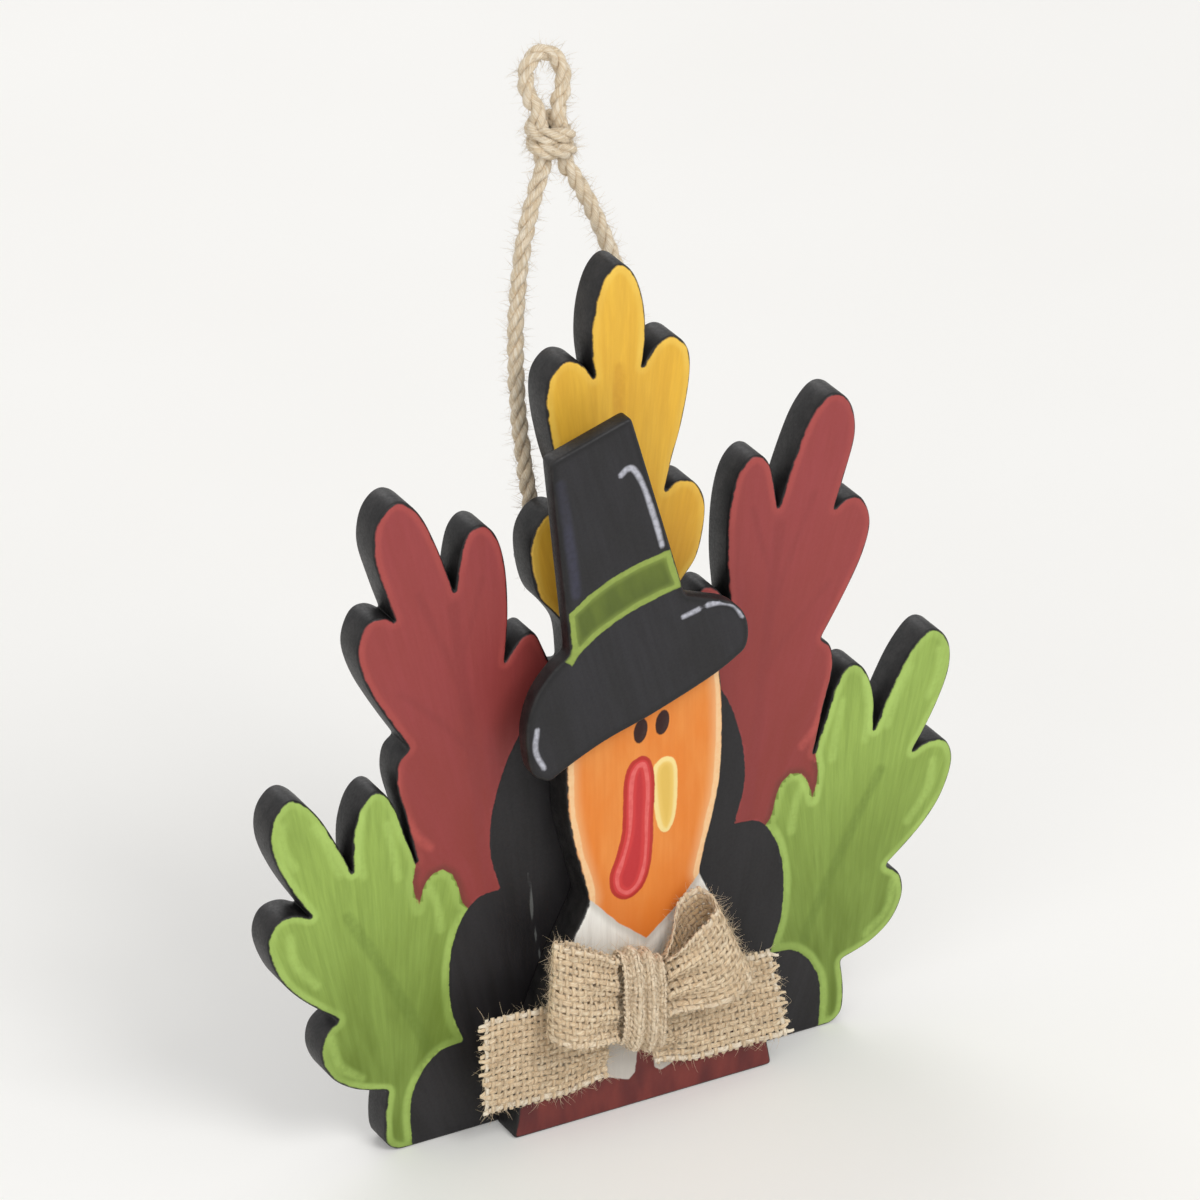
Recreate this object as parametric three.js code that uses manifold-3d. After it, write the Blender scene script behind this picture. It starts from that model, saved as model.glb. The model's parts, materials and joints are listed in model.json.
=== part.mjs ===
// A flat wooden turkey ornament in a tall hat: a fan of leaves, a body board and a hat board glued
// one on another, a burlap bow on the chest, and a jute twine hanger stapled to the back.
// Millimetres, +Z up. The painted front faces -Y. The origin is under the middle of the rigid
// pieces' box, on the surface that the ornament stands on.

import * as THREE from 'three';
import { mergeVertices } from 'three/addons/utils/BufferGeometryUtils.js';
import Module from 'manifold-3d';

const wasm = await Module();
wasm.setup();

// Fan board
const fanWidth = 127;
const fanHeight = 150;
const fanThickness = 6.35;

// Body board
const bodyOffset = 1.4;
const bodyHeight = 92;
const bodyThickness = 6.35;
const hemWidth = 48.6;
const neckWidth = 20.6;
const neckHeight = 41;
const headWidth = 28.8;

// Hat board
const hatWidth = 40.3;
const hatHeight = 61.2;
const hatThickness = 3.2;
const hatOffset = -2.95;
const hatOverlap = 25;

// Burlap bow
const ribbonWidth = 17.6;
const ribbonThickness = 0.8;
const bowOffset = -3.2;
const bowHeight = 21.6;
const knotWidth = 8;
const knotHeight = 19;
const knotDepth = 6.8;
const knotSlant = 20;
const loopDepth = 4.6;
const leftLoopReach = 13;
const rightLoopReach = 14.2;
const leftLoopRise = 22;
const rightLoopRise = 34;
const leftLoopLean = 3;
const rightLoopLean = 24;
const leftTailReach = 23.2;
const rightTailReach = 23.6;
const leftTailRise = 5;
const rightTailRise = 0.5;
const leftTailCut = 0;
const rightTailCut = 12;
const leftLoopPinchWidth = 15.5;
const rightLoopPinchWidth = 11;
const tailPinchWidth = 13;
const knotSeatHeight = 1;
const loopSeatHeight = 2.7;
const tailSeatHeight = -7.2;
const foldDepth = 0.45;
const pleats = 3;

// Twine hanger, with its hinge line across the back
const twineDiameter = 2.8;
const hingeHeight = 102;
const anchorSpacing = 21.6;
const twineEndLength = 8;
const hangerLean = 13;
const hangerKnotWidth = 8.4;
const hangerKnotHeight = 8;
const hangerKnotDepth = 7;

// Staples
const stapleWidth = 6.4;
const stapleWire = 0.7;
const stapleLegLength = 4;
const stapleDrop = 4;

// Clearances
const seatGap = 0.3;
const overrun = 1;

// Outline of the left half of the fan, as shares: across of half the width, up of the height.
// Each run is one smooth stretch, and runs meet in the notches between lobes.
const topLobeShares = [[0, 1], [-0.044, 0.984], [-0.071, 0.949], [-0.077, 0.909], [-0.066, 0.872]];
const sideLobeShares = [
  [[-0.066, 0.872], [-0.104, 0.895], [-0.154, 0.902], [-0.198, 0.883], [-0.203, 0.848],
    [-0.181, 0.797], [-0.154, 0.758], [-0.132, 0.720]],
  [[-0.132, 0.720], [-0.170, 0.730], [-0.214, 0.725], [-0.247, 0.702], [-0.247, 0.669],
    [-0.225, 0.632], [-0.181, 0.608], [-0.143, 0.580], [-0.132, 0.534]],
  [[-0.132, 0.534], [-0.181, 0.541], [-0.209, 0.566], [-0.242, 0.594], [-0.286, 0.587],
    [-0.324, 0.564]],
  [[-0.324, 0.564], [-0.313, 0.618], [-0.319, 0.678], [-0.346, 0.720], [-0.396, 0.737],
    [-0.440, 0.718], [-0.462, 0.664]],
  [[-0.462, 0.664], [-0.505, 0.718], [-0.555, 0.765], [-0.615, 0.788], [-0.670, 0.772],
    [-0.687, 0.734], [-0.659, 0.688], [-0.626, 0.646]],
  [[-0.626, 0.646], [-0.665, 0.657], [-0.709, 0.653], [-0.736, 0.622], [-0.714, 0.583],
    [-0.659, 0.538], [-0.593, 0.492]],
  [[-0.593, 0.492], [-0.624, 0.482], [-0.632, 0.452], [-0.604, 0.404], [-0.577, 0.350]],
  [[-0.577, 0.350], [-0.606, 0.385], [-0.640, 0.428], [-0.682, 0.452], [-0.729, 0.440],
    [-0.757, 0.404], [-0.758, 0.359]],
  [[-0.758, 0.359], [-0.802, 0.401], [-0.857, 0.443], [-0.923, 0.469], [-0.978, 0.450],
    [-0.984, 0.413], [-0.940, 0.366], [-0.874, 0.319]],
  [[-0.874, 0.319], [-0.923, 0.329], [-0.978, 0.324], [-1, 0.296], [-0.967, 0.254],
    [-0.901, 0.219], [-0.802, 0.184]],
  [[-0.802, 0.184], [-0.846, 0.170], [-0.857, 0.142], [-0.824, 0.112], [-0.758, 0.091],
    [-0.670, 0.079]],
  [[-0.670, 0.079], [-0.681, 0.044], [-0.676, 0.012], [-0.643, 0]],
];

// Side of the body from the hem to the neck, as shares of the way between their half widths and heights.
const robeSideShares = [[1, 0], [0.88, 0.2], [0.65, 0.5], [0.34, 0.76], [0.06, 0.95]];

// Side of the head from the neck to the crown, as shares: across of the half width, up of the height.
const headSideShares = [[0.81, 0.11], [0.96, 0.29], [1, 0.48], [0.96, 0.7], [0.8, 0.88], [0.45, 0.98]];

// Outline of the hat, as shares of its width and height from the lower left of its box.
const brimLeftShares = [[0.1, 0], [0.03, 0.03], [0.005, 0.09], [0, 0.175], [0.04, 0.26], [0.12, 0.325],
  [0.195, 0.36]];
const crownShares = [[0.107, 0.926], [0.464, 1]];
const brimRightShares = [[0.71, 0.445], [0.81, 0.42], [0.92, 0.39], [0.985, 0.34], [1, 0.28], [0.985, 0.24]];
const brimUnderShares = [[0.985, 0.24], [0.84, 0.187], [0.57, 0.121], [0.36, 0.08], [0.205, 0.037], [0.1, 0]];

// Route of the left leg of the hanger from its hinge: across, and up along the leaning twine.
const legRoute = [[-10.8, 0.2], [-11.2, 10], [-11.2, 20], [-10.4, 30], [-8.6, 40], [-5.9, 49], [-3.3, 55],
  [-2, 57.7]];
// Route of the eye from the left of the knot round to the right of it.
const eyeRoute = [[-1.8, 66.3], [-2.9, 68.8], [-3.3, 71.6], [-2.4, 74.4], [0, 75.8], [2.4, 74.4], [3.3, 71.6],
  [2.9, 68.8], [1.8, 66.3]];
// Height of the middle of the knot along the leaning twine.
const hangerKnotPlace = 62;

// Resolution
const runSteps = 3;
const ribbonSteps = 18;
const ribbonColumns = 12;
const tubeSides = 8;
const tubeStep = 2.2;
const roundSides = 20;

const fanFront = 0;
const fanBack = fanFront + fanThickness;
const bodyFront = fanFront - bodyThickness;
const hatFront = bodyFront - hatThickness;
const twineRadius = twineDiameter / 2;
const twineSeat = fanBack + seatGap + twineRadius;
const hingeY = twineSeat + twineRadius + seatGap;
const stapleCrownFront = twineSeat + twineRadius + seatGap;
const stapleBack = stapleCrownFront + stapleWire;
const bowFront = bodyFront - seatGap - knotDepth;
const rigidMiddle = (Math.min(bowFront, hatFront) + stapleBack) / 2;

const radians = (degrees) => THREE.MathUtils.degToRad(degrees);

function painted(colour, roughness) {
  return new THREE.MeshStandardMaterial({ color: colour, roughness, metalness: 0 });
}

const figure = new THREE.Group();
figure.position.y = -rigidMiddle;

function addPiece(parent, name, geometry, material) {
  const piece = new THREE.Mesh(geometry, material);
  piece.name = name;
  parent.add(piece);
  return piece;
}

// Boards

// Points of an outline from runs of points, each run smooth and joined to the next at a corner.
function outlineOf(runs) {
  const outline = [];
  for (const run of runs) {
    const curve = new THREE.SplineCurve(run);
    const points = curve.getPoints(runSteps * (run.length - 1));
    outline.push(...points.slice(0, -1));
  }
  return outline;
}

// A board cut to an outline of across and up, between two depths. Up becomes +Z.
function boardGeometry(outline, frontY, backY) {
  const geometry = new THREE.ExtrudeGeometry(new THREE.Shape(outline), {
    depth: backY - frontY,
    bevelEnabled: false,
  });
  const upright = new THREE.Matrix4().set(1, 0, 0, 0, 0, 0, -1, 0, 0, 1, 0, 0, 0, 0, 0, 1);
  geometry.applyMatrix4(upright);
  geometry.translate(0, backY, 0);
  return geometry;
}

function mirrored(run) {
  return run.map((point) => new THREE.Vector2(-point.x, point.y)).reverse();
}

function fanOutline() {
  const place = ([across, up]) => new THREE.Vector2(across * fanWidth / 2, up * fanHeight);
  const topHalf = topLobeShares.map(place);
  const top = [...mirrored(topHalf).slice(0, -1), ...topHalf];
  const left = sideLobeShares.map((run) => run.map(place));
  const right = left.map(mirrored).reverse();
  const footLeft = left.at(-1).at(-1);
  const foot = [footLeft, new THREE.Vector2(-footLeft.x, footLeft.y)];
  return outlineOf([top, ...left, foot, ...right]);
}

function bodyOutline() {
  const hem = hemWidth / 2;
  const neck = neckWidth / 2;
  const head = headWidth / 2;
  const headHeight = bodyHeight - neckHeight;
  const robe = robeSideShares.map(([out, up]) => (
    new THREE.Vector2(neck + (hem - neck) * out, neckHeight * up)));
  const neckPoint = new THREE.Vector2(neck, neckHeight);
  const face = headSideShares.map(([out, up]) => (
    new THREE.Vector2(head * out, neckHeight + headHeight * up)));
  const crown = new THREE.Vector2(0, bodyHeight);
  const robeRight = [...robe, neckPoint];
  const headRight = [neckPoint, ...face];
  const headRun = [...headRight, crown, ...mirrored(headRight)];
  const hemRun = [mirrored(robeRight).at(-1), robeRight[0]];
  return outlineOf([robeRight, headRun, mirrored(robeRight), hemRun]);
}

function hatOutline() {
  const place = ([across, up]) => new THREE.Vector2((across - 0.5) * hatWidth, up * hatHeight);
  const brimLeft = brimLeftShares.map(place);
  const crown = crownShares.map(place);
  const brimRight = brimRightShares.map(place);
  const brimUnder = brimUnderShares.map(place);
  const leftSide = [brimLeft.at(-1), crown[0]];
  const rightSide = [crown[1], brimRight[0]];
  return outlineOf([brimLeft, leftSide, crown, rightSide, brimRight, brimUnder]);
}

function solidOf(geometry) {
  geometry.deleteAttribute('normal');
  geometry.deleteAttribute('uv');
  const merged = mergeVertices(geometry);
  return new wasm.Manifold(new wasm.Mesh({
    numProp: 3,
    vertProperties: Float32Array.from(merged.attributes.position.array),
    triVerts: Uint32Array.from(merged.index.array),
  }));
}

function geometryOf(solid) {
  const mesh = solid.getMesh();
  const geometry = new THREE.BufferGeometry();
  geometry.setAttribute('position', new THREE.BufferAttribute(mesh.vertProperties, 3));
  geometry.setIndex(new THREE.BufferAttribute(mesh.triVerts, 1));
  geometry.computeVertexNormals();
  return geometry;
}

const stapleHeight = hingeHeight - stapleDrop;
const stapleLegTip = fanBack - stapleLegLength;

// The fan board, with four blind holes that the staples' legs stand in.
function fanGeometry() {
  let board = solidOf(boardGeometry(fanOutline(), fanFront, fanBack));
  const holeSide = stapleWire + 2 * seatGap;
  const holeDepth = stapleLegLength + seatGap;
  for (const side of [-1, 1]) {
    for (const leg of [-1, 1]) {
      const hole = new THREE.BoxGeometry(holeSide, holeDepth + overrun, holeSide);
      const legX = side * anchorSpacing / 2 + leg * (stapleWidth - stapleWire) / 2;
      hole.translate(legX, fanBack + (overrun - holeDepth) / 2, stapleHeight);
      board = board.subtract(solidOf(hole));
    }
  }
  return geometryOf(board);
}

addPiece(figure, 'fan_board', fanGeometry(), painted(0xa84b4b, 0.7));

const bodyBoard = addPiece(
  figure, 'body_board', boardGeometry(bodyOutline(), bodyFront, fanFront), painted(0xf0913c, 0.7));
bodyBoard.position.x = bodyOffset;

const hatBoard = addPiece(
  figure, 'hat_board', boardGeometry(hatOutline(), hatFront, bodyFront), painted(0x37373e, 0.7));
hatBoard.position.set(bodyOffset + hatOffset, 0, bodyHeight - hatOverlap);

// Burlap bow

const burlap = painted(0xcdb491, 0.95);
const bow = new THREE.Group();
bow.position.set(bodyOffset + bowOffset, bodyFront, bowHeight);
figure.add(bow);

const forward = new THREE.Vector3(0, -1, 0);

// A closed strip of ribbon. sectionAt gives, for a share of the length, the middle of the ribbon,
// its half width as a vector, and how deep its gathers are there.
function ribbonGeometry(sectionAt) {
  const sections = [];
  for (let step = 0; step <= ribbonSteps; step += 1) {
    sections.push(sectionAt(step / ribbonSteps));
  }
  const positions = [];
  for (let step = 0; step <= ribbonSteps; step += 1) {
    const before = sections[Math.max(step - 1, 0)].centre;
    const after = sections[Math.min(step + 1, ribbonSteps)].centre;
    const { centre, halfWidth, gather } = sections[step];
    const along = new THREE.Vector3().subVectors(after, before);
    const normal = new THREE.Vector3().crossVectors(along, halfWidth).normalize();
    for (const face of [1, -1]) {
      for (let column = 0; column <= ribbonColumns; column += 1) {
        const share = column / ribbonColumns;
        const point = centre.clone().addScaledVector(halfWidth, 2 * share - 1);
        point.addScaledVector(normal, face * ribbonThickness / 2);
        point.addScaledVector(forward, gather * Math.cos(share * Math.PI * 2 * pleats));
        positions.push(point.x, point.y, point.z);
      }
    }
  }
  const row = ribbonColumns + 1;
  const at = (step, face, column) => (step * 2 + face) * row + column;
  const triangles = [];
  const addQuad = (a, b, c, d) => triangles.push(a, b, c, a, c, d);
  for (let step = 0; step < ribbonSteps; step += 1) {
    for (let column = 0; column < ribbonColumns; column += 1) {
      addQuad(at(step, 0, column), at(step + 1, 0, column),
        at(step + 1, 0, column + 1), at(step, 0, column + 1));
      addQuad(at(step, 1, column), at(step, 1, column + 1),
        at(step + 1, 1, column + 1), at(step + 1, 1, column));
    }
    addQuad(at(step, 0, 0), at(step, 1, 0), at(step + 1, 1, 0), at(step + 1, 0, 0));
    addQuad(at(step, 0, ribbonColumns), at(step + 1, 0, ribbonColumns),
      at(step + 1, 1, ribbonColumns), at(step, 1, ribbonColumns));
  }
  for (let column = 0; column < ribbonColumns; column += 1) {
    addQuad(at(0, 0, column), at(0, 0, column + 1), at(0, 1, column + 1), at(0, 1, column));
    addQuad(at(ribbonSteps, 0, column), at(ribbonSteps, 1, column),
      at(ribbonSteps, 1, column + 1), at(ribbonSteps, 0, column + 1));
  }
  const geometry = new THREE.BufferGeometry();
  geometry.setAttribute('position', new THREE.Float32BufferAttribute(positions, 3));
  geometry.setIndex(triangles);
  geometry.computeVertexNormals();
  return geometry;
}

const layerPitch = ribbonThickness + seatGap;
const loopMiddle = knotDepth - layerPitch / 2 - loopDepth / 2 + seatGap;
const bowSide = knotWidth / 2 + seatGap;

// How far the ribbon has opened from its pinched end, from 0 at the knot to 1.
function openness(reachShare) {
  const openShare = 0.75;
  return THREE.MathUtils.smoothstep(reachShare, 0, openShare);
}

function halfWidthAt(pinchWidth, open) {
  return (pinchWidth + (ribbonWidth - pinchWidth) * open) / 2;
}

// A loop leaves the knot along the back, turns over at its far end and comes back in front. The far
// end leans in at its top.
function loopSection(side, loopReach, rise, lean, pinchWidth, share) {
  const swing = Math.sin(share * Math.PI);
  const reach = loopReach * swing;
  const spread = Math.sin(share * Math.PI * 2) * (loopDepth - layerPitch) / 2;
  const depth = loopMiddle - spread - Math.cos(share * Math.PI) * layerPitch / 2;
  const outX = Math.cos(radians(rise));
  const outZ = Math.sin(radians(rise));
  const open = openness(swing);
  const centre = new THREE.Vector3(
    side * (bowSide + reach * outX), -depth, loopSeatHeight + reach * outZ);
  const tilt = radians(lean) * open;
  const halfWidth = new THREE.Vector3(-side * Math.sin(tilt), 0, Math.cos(tilt));
  halfWidth.multiplyScalar(halfWidthAt(pinchWidth, open));
  return { centre, halfWidth, gather: foldDepth * (1 - open) };
}

// A tail leaves the knot low, close to the body, spreads out and stands off a little at its cut end.
// The cut leans out at its lower corner.
function tailSection(side, reach, rise, cut, share) {
  const lean = radians(rise);
  const cutLean = radians(cut) * share;
  const along = reach * share;
  const openShare = 0.4;
  const open = THREE.MathUtils.smoothstep(share, 0, openShare);
  const gather = foldDepth * (1 - open);
  const lift = ribbonThickness * share * share;
  const centre = new THREE.Vector3(
    side * (bowSide + along * Math.cos(lean)),
    -(seatGap + ribbonThickness / 2 + gather + lift),
    tailSeatHeight + along * Math.sin(lean));
  const halfWidth = new THREE.Vector3(-side * Math.sin(cutLean), 0, Math.cos(cutLean));
  halfWidth.multiplyScalar(halfWidthAt(tailPinchWidth, open));
  return { centre, halfWidth, gather };
}

const leftLoop = (share) => (
  loopSection(-1, leftLoopReach, leftLoopRise, leftLoopLean, leftLoopPinchWidth, share));
const rightLoop = (share) => (
  loopSection(1, rightLoopReach, rightLoopRise, rightLoopLean, rightLoopPinchWidth, share));
const leftTail = (share) => tailSection(-1, leftTailReach, leftTailRise, leftTailCut, share);
const rightTail = (share) => tailSection(1, rightTailReach, rightTailRise, rightTailCut, share);
addPiece(bow, 'bow_loop_left', ribbonGeometry(leftLoop), burlap);
addPiece(bow, 'bow_loop_right', ribbonGeometry(rightLoop), burlap);
addPiece(bow, 'bow_tail_left', ribbonGeometry(leftTail), burlap);
addPiece(bow, 'bow_tail_right', ribbonGeometry(rightTail), burlap);

// The knot is a cushion of gathered ribbon with rounded edges, lower on its right side.
function knotGeometry() {
  const bevel = knotDepth / 4;
  const shape = new THREE.Shape();
  shape.absellipse(0, 0, knotWidth / 2 - bevel, knotHeight / 2 - bevel, 0, Math.PI * 2);
  const geometry = new THREE.ExtrudeGeometry(shape, {
    depth: knotDepth - 2 * bevel,
    curveSegments: roundSides,
    bevelThickness: bevel,
    bevelSize: bevel,
    bevelSegments: 3,
  });
  const upright = new THREE.Matrix4().set(1, 0, 0, 0, 0, 0, -1, 0, 0, 1, 0, 0, 0, 0, 0, 1);
  geometry.applyMatrix4(upright);
  geometry.translate(0, -seatGap - bevel, 0);
  const slope = Math.tan(radians(knotSlant));
  geometry.applyMatrix4(new THREE.Matrix4().set(1, 0, 0, 0, 0, 1, 0, 0, -slope, 0, 1, 0, 0, 0, 0, 1));
  return geometry;
}

const knot = addPiece(bow, 'bow_knot', knotGeometry(), burlap);
knot.position.z = knotSeatHeight;

// Twine and staples

const jute = painted(0xbeaa8c, 1);
const steel = new THREE.MeshStandardMaterial({ color: 0xb8bcc0, roughness: 0.35, metalness: 1 });

function tubeGeometry(points) {
  const curve = new THREE.CatmullRomCurve3(points);
  const section = new THREE.Shape();
  section.absarc(0, 0, twineRadius, 0, Math.PI * 2);
  return new THREE.ExtrudeGeometry(section, {
    extrudePath: curve,
    steps: Math.ceil(curve.getLength() / tubeStep),
    curveSegments: tubeSides,
    bevelEnabled: false,
  });
}

const hanger = new THREE.Group();
hanger.position.set(0, hingeY, hingeHeight);
figure.add(hanger);

// A place on the leaning twine, from its distance across and its height along the lean.
function onHanger([across, up]) {
  const lean = radians(hangerLean);
  const inFront = hingeY - twineSeat;
  return new THREE.Vector3(
    across,
    up * Math.sin(lean) - inFront * Math.cos(lean),
    up * Math.cos(lean) + inFront * Math.sin(lean));
}

const acrossMirror = ([across, up]) => [-across, up];
const leftLeg = legRoute.map(onHanger);
const rightLeg = legRoute.map(acrossMirror).map(onHanger);
addPiece(hanger, 'hanger_leg_left', tubeGeometry(leftLeg), jute);
addPiece(hanger, 'hanger_leg_right', tubeGeometry(rightLeg), jute);
addPiece(hanger, 'hanger_eye', tubeGeometry(eyeRoute.map(onHanger)), jute);

const hangerKnot = new THREE.SphereGeometry(1, roundSides, roundSides / 2);
hangerKnot.rotateX(Math.PI / 2);
hangerKnot.scale(hangerKnotWidth / 2, hangerKnotDepth / 2, hangerKnotHeight / 2);
hangerKnot.rotateX(-radians(hangerLean));
const knotPlace = onHanger([0, hangerKnotPlace]);
hangerKnot.translate(knotPlace.x, knotPlace.y, knotPlace.z);
addPiece(hanger, 'hanger_knot', hangerKnot, jute);

// A staple with its crown across the twine and its legs in the fan board.
function stapleGeometry() {
  const half = stapleWidth / 2;
  const inner = half - stapleWire;
  const outline = [
    new THREE.Vector2(-half, stapleBack),
    new THREE.Vector2(-half, stapleLegTip),
    new THREE.Vector2(-inner, stapleLegTip),
    new THREE.Vector2(-inner, stapleCrownFront),
    new THREE.Vector2(inner, stapleCrownFront),
    new THREE.Vector2(inner, stapleLegTip),
    new THREE.Vector2(half, stapleLegTip),
    new THREE.Vector2(half, stapleBack),
  ];
  const geometry = new THREE.ExtrudeGeometry(new THREE.Shape(outline), {
    depth: stapleWire,
    bevelEnabled: false,
  });
  geometry.translate(0, 0, -stapleWire / 2);
  return geometry;
}

for (const [name, side] of [['left', -1], ['right', 1]]) {
  const anchorX = side * anchorSpacing / 2;
  const end = [
    new THREE.Vector3(anchorX, twineSeat, hingeHeight),
    new THREE.Vector3(anchorX, twineSeat, hingeHeight - twineEndLength / 2),
    new THREE.Vector3(anchorX, twineSeat, hingeHeight - twineEndLength),
  ];
  addPiece(figure, `twine_end_${name}`, tubeGeometry(end), jute);
  const staple = addPiece(figure, `staple_${name}`, stapleGeometry(), steel);
  staple.position.set(anchorX, 0, stapleHeight);
}

export default figure;
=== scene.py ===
import json
import math
import random

import bmesh
import bpy
import numpy as np
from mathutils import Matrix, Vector


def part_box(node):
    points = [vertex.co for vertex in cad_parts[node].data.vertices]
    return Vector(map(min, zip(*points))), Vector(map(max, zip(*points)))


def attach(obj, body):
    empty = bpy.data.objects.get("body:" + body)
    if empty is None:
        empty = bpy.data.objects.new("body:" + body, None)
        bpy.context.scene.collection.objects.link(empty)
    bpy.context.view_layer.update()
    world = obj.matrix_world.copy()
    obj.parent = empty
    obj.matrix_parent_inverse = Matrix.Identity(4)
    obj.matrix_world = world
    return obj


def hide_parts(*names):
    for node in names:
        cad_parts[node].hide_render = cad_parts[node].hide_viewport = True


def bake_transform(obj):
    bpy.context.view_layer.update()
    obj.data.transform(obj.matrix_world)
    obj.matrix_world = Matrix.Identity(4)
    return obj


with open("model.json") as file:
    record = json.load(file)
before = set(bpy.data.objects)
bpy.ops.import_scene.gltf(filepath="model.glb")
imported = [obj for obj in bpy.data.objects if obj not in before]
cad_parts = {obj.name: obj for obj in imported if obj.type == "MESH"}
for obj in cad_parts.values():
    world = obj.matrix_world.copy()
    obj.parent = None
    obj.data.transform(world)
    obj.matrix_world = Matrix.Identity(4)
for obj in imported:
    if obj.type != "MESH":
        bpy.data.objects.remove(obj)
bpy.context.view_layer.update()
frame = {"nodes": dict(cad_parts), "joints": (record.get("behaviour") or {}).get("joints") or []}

mm = 0.001

# A flat wooden turkey in a tall hat: three painted boards, a burlap bow and a jute hanger.
# Outlines and routes are in millimetres across (x) and up (z), and become metres in the meshes.

# Camera

cameraLook = {
    "azimuth": -29.0, "elevation": 28.0, "distance": 1.15, "lens": 216.0, "clipEnd": 50.0,
    "aim": (-0.9, 6.0, 89.0),
}


def makeCamera(look):
    camera = bpy.data.objects.new("camera", bpy.data.cameras.new("camera"))
    bpy.context.scene.collection.objects.link(camera)
    camera.data.lens = look["lens"]
    camera.data.clip_end = look["clipEnd"]
    azimuth, elevation = math.radians(look["azimuth"]), math.radians(look["elevation"])
    outward = Vector((math.sin(azimuth) * math.cos(elevation),
                      -math.cos(azimuth) * math.cos(elevation), math.sin(elevation)))
    aim = Vector(look["aim"]) * mm
    camera.location = aim + outward * look["distance"]
    camera.rotation_euler = (-outward).to_track_quat("-Z", "Y").to_euler()
    bpy.context.scene.camera = camera


makeCamera(cameraLook)

# Lines and outlines

spanPoints = 10  # points on each span of a smooth curve
routeStep = 0.5  # between points on a painted line
loopStep = 0.3  # between points on a painted outline
measuredAtOnce = 1500  # points whose distances are worked out together
weldReach = 0.01  # corners of the frame's faces that are closer than this are one
flatness = 0.1  # a front face lies no further back than this from the foremost corner
tiny = 1e-12  # keeps a division off zero


def evenly(line, step):
    gaps = np.linalg.norm(np.diff(line, axis=0), axis=1)
    along = np.concatenate([[0], np.cumsum(gaps)])
    count = max(2, round(along[-1] / step) + 1)
    places = np.linspace(0, along[-1], count)
    return np.column_stack([np.interp(places, along, column) for column in line.T])


def curveThrough(points, step):
    points = np.array(points, float)
    padded = np.vstack([2 * points[0] - points[1], points, 2 * points[-1] - points[-2]])
    share = np.linspace(0, 1, spanPoints, endpoint=False)[:, None]
    stretches = []
    for k in range(1, len(padded) - 2):
        a, b, c, d = padded[k - 1:k + 3]
        stretches.append(0.5 * (2 * b + (c - a) * share + (2 * a - 5 * b + 4 * c - d) * share ** 2
                                + (3 * b - a - 3 * c + d) * share ** 3))
    return evenly(np.vstack([*stretches, points[-1:]]), step)


# How far each point lies from a line
def reachTo(points, line):
    starts, spans = line[:-1], line[1:] - line[:-1]
    squares = np.maximum((spans ** 2).sum(1), tiny)
    reach = np.empty(len(points))
    for first in range(0, len(points), measuredAtOnce):
        block = points[first:first + measuredAtOnce, None, :] - starts
        share = np.clip((block * spans).sum(2) / squares, 0, 1)
        gaps = np.linalg.norm(block - share[..., None] * spans, axis=2)
        reach[first:first + measuredAtOnce] = gaps.min(1)
    return reach


# How far each point lies from the nearest of some routes
def reachToRoutes(points, routes, step=routeStep):
    return np.min([reachTo(points, curveThrough(route, step)) for route in routes], axis=0)


def closedCurve(points, step):
    return curveThrough([*points, points[0]], step)[:-1]


# How far each point lies inside a closed outline, and below zero outside it
def depthIn(points, loop):
    x, z = points.T
    hit = np.zeros(len(points), bool)
    for (x1, z1), (x2, z2) in zip(loop, np.roll(loop, -1, axis=0)):
        crosses = (z1 > z) != (z2 > z)
        if z1 != z2:
            hit ^= crosses & (x < (x2 - x1) * (z - z1) / (z2 - z1) + x1)
    return np.where(hit, 1, -1) * reachTo(points, np.vstack([loop, loop[:1]]))


# The same for a shape that a line bounds on one side and far corners close on the others
def depthBeyond(points, line, corners):
    return depthIn(points, np.vstack([line, corners]).astype(float))


# The front outline of a board in the frame
def frontLoop(nodeName):
    bm = bmesh.new()
    bm.from_mesh(frame["nodes"][nodeName].data)
    bmesh.ops.remove_doubles(bm, verts=bm.verts, dist=weldReach * mm)
    front = min(v.co.y for v in bm.verts)
    others = [f for f in bm.faces if max(v.co.y for v in f.verts) > front + flatness * mm]
    bmesh.ops.delete(bm, geom=others, context="FACES")
    edge = next(e for e in bm.edges if e.is_boundary)
    start, here = edge.verts
    loop = [start]
    while here != start:
        loop.append(here)
        edge = next(e for e in here.link_edges if e.is_boundary and e != edge)
        here = edge.other_vert(here)
    points = np.array([(v.co.x / mm, v.co.z / mm) for v in loop])
    bm.free()
    return points


# The same outline with its lobes curved between the notches, and its corners sanded. Both ends of a long
# straight edge are corners too, so that the curve beside it doesn't swing past it.
def sandedLoop(nodeName, look):
    points = frontLoop(nodeName)
    before = points - np.roll(points, 1, axis=0)
    after = np.roll(points, -1, axis=0) - points
    lengths = np.linalg.norm(before, axis=1), np.linalg.norm(after, axis=1)
    cosine = (before * after).sum(1) / lengths[0] / lengths[1]
    sharp = cosine < math.cos(math.radians(look["cornerAngle"]))
    corners = np.flatnonzero(sharp | (np.maximum(*lengths) > look["straight"]))
    runs = []
    for first, last in zip(corners, np.roll(corners, -1)):
        count = (last - first) % len(points)
        run = points[[(first + k) % len(points) for k in range(count + 1)]]
        runs.append(curveThrough(run, look["step"])[:-1])
    line = np.vstack([*runs, runs[0][:1]])
    loop = evenly(line, look["step"])[:-1]
    for _ in range(look["sanding"]):
        loop = 0.5 * loop + 0.25 * (np.roll(loop, 1, axis=0) + np.roll(loop, -1, axis=0))
    loop[:, 1] = np.maximum(loop[:, 1], points[:, 1].min())
    return loop


# Meshes

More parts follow.
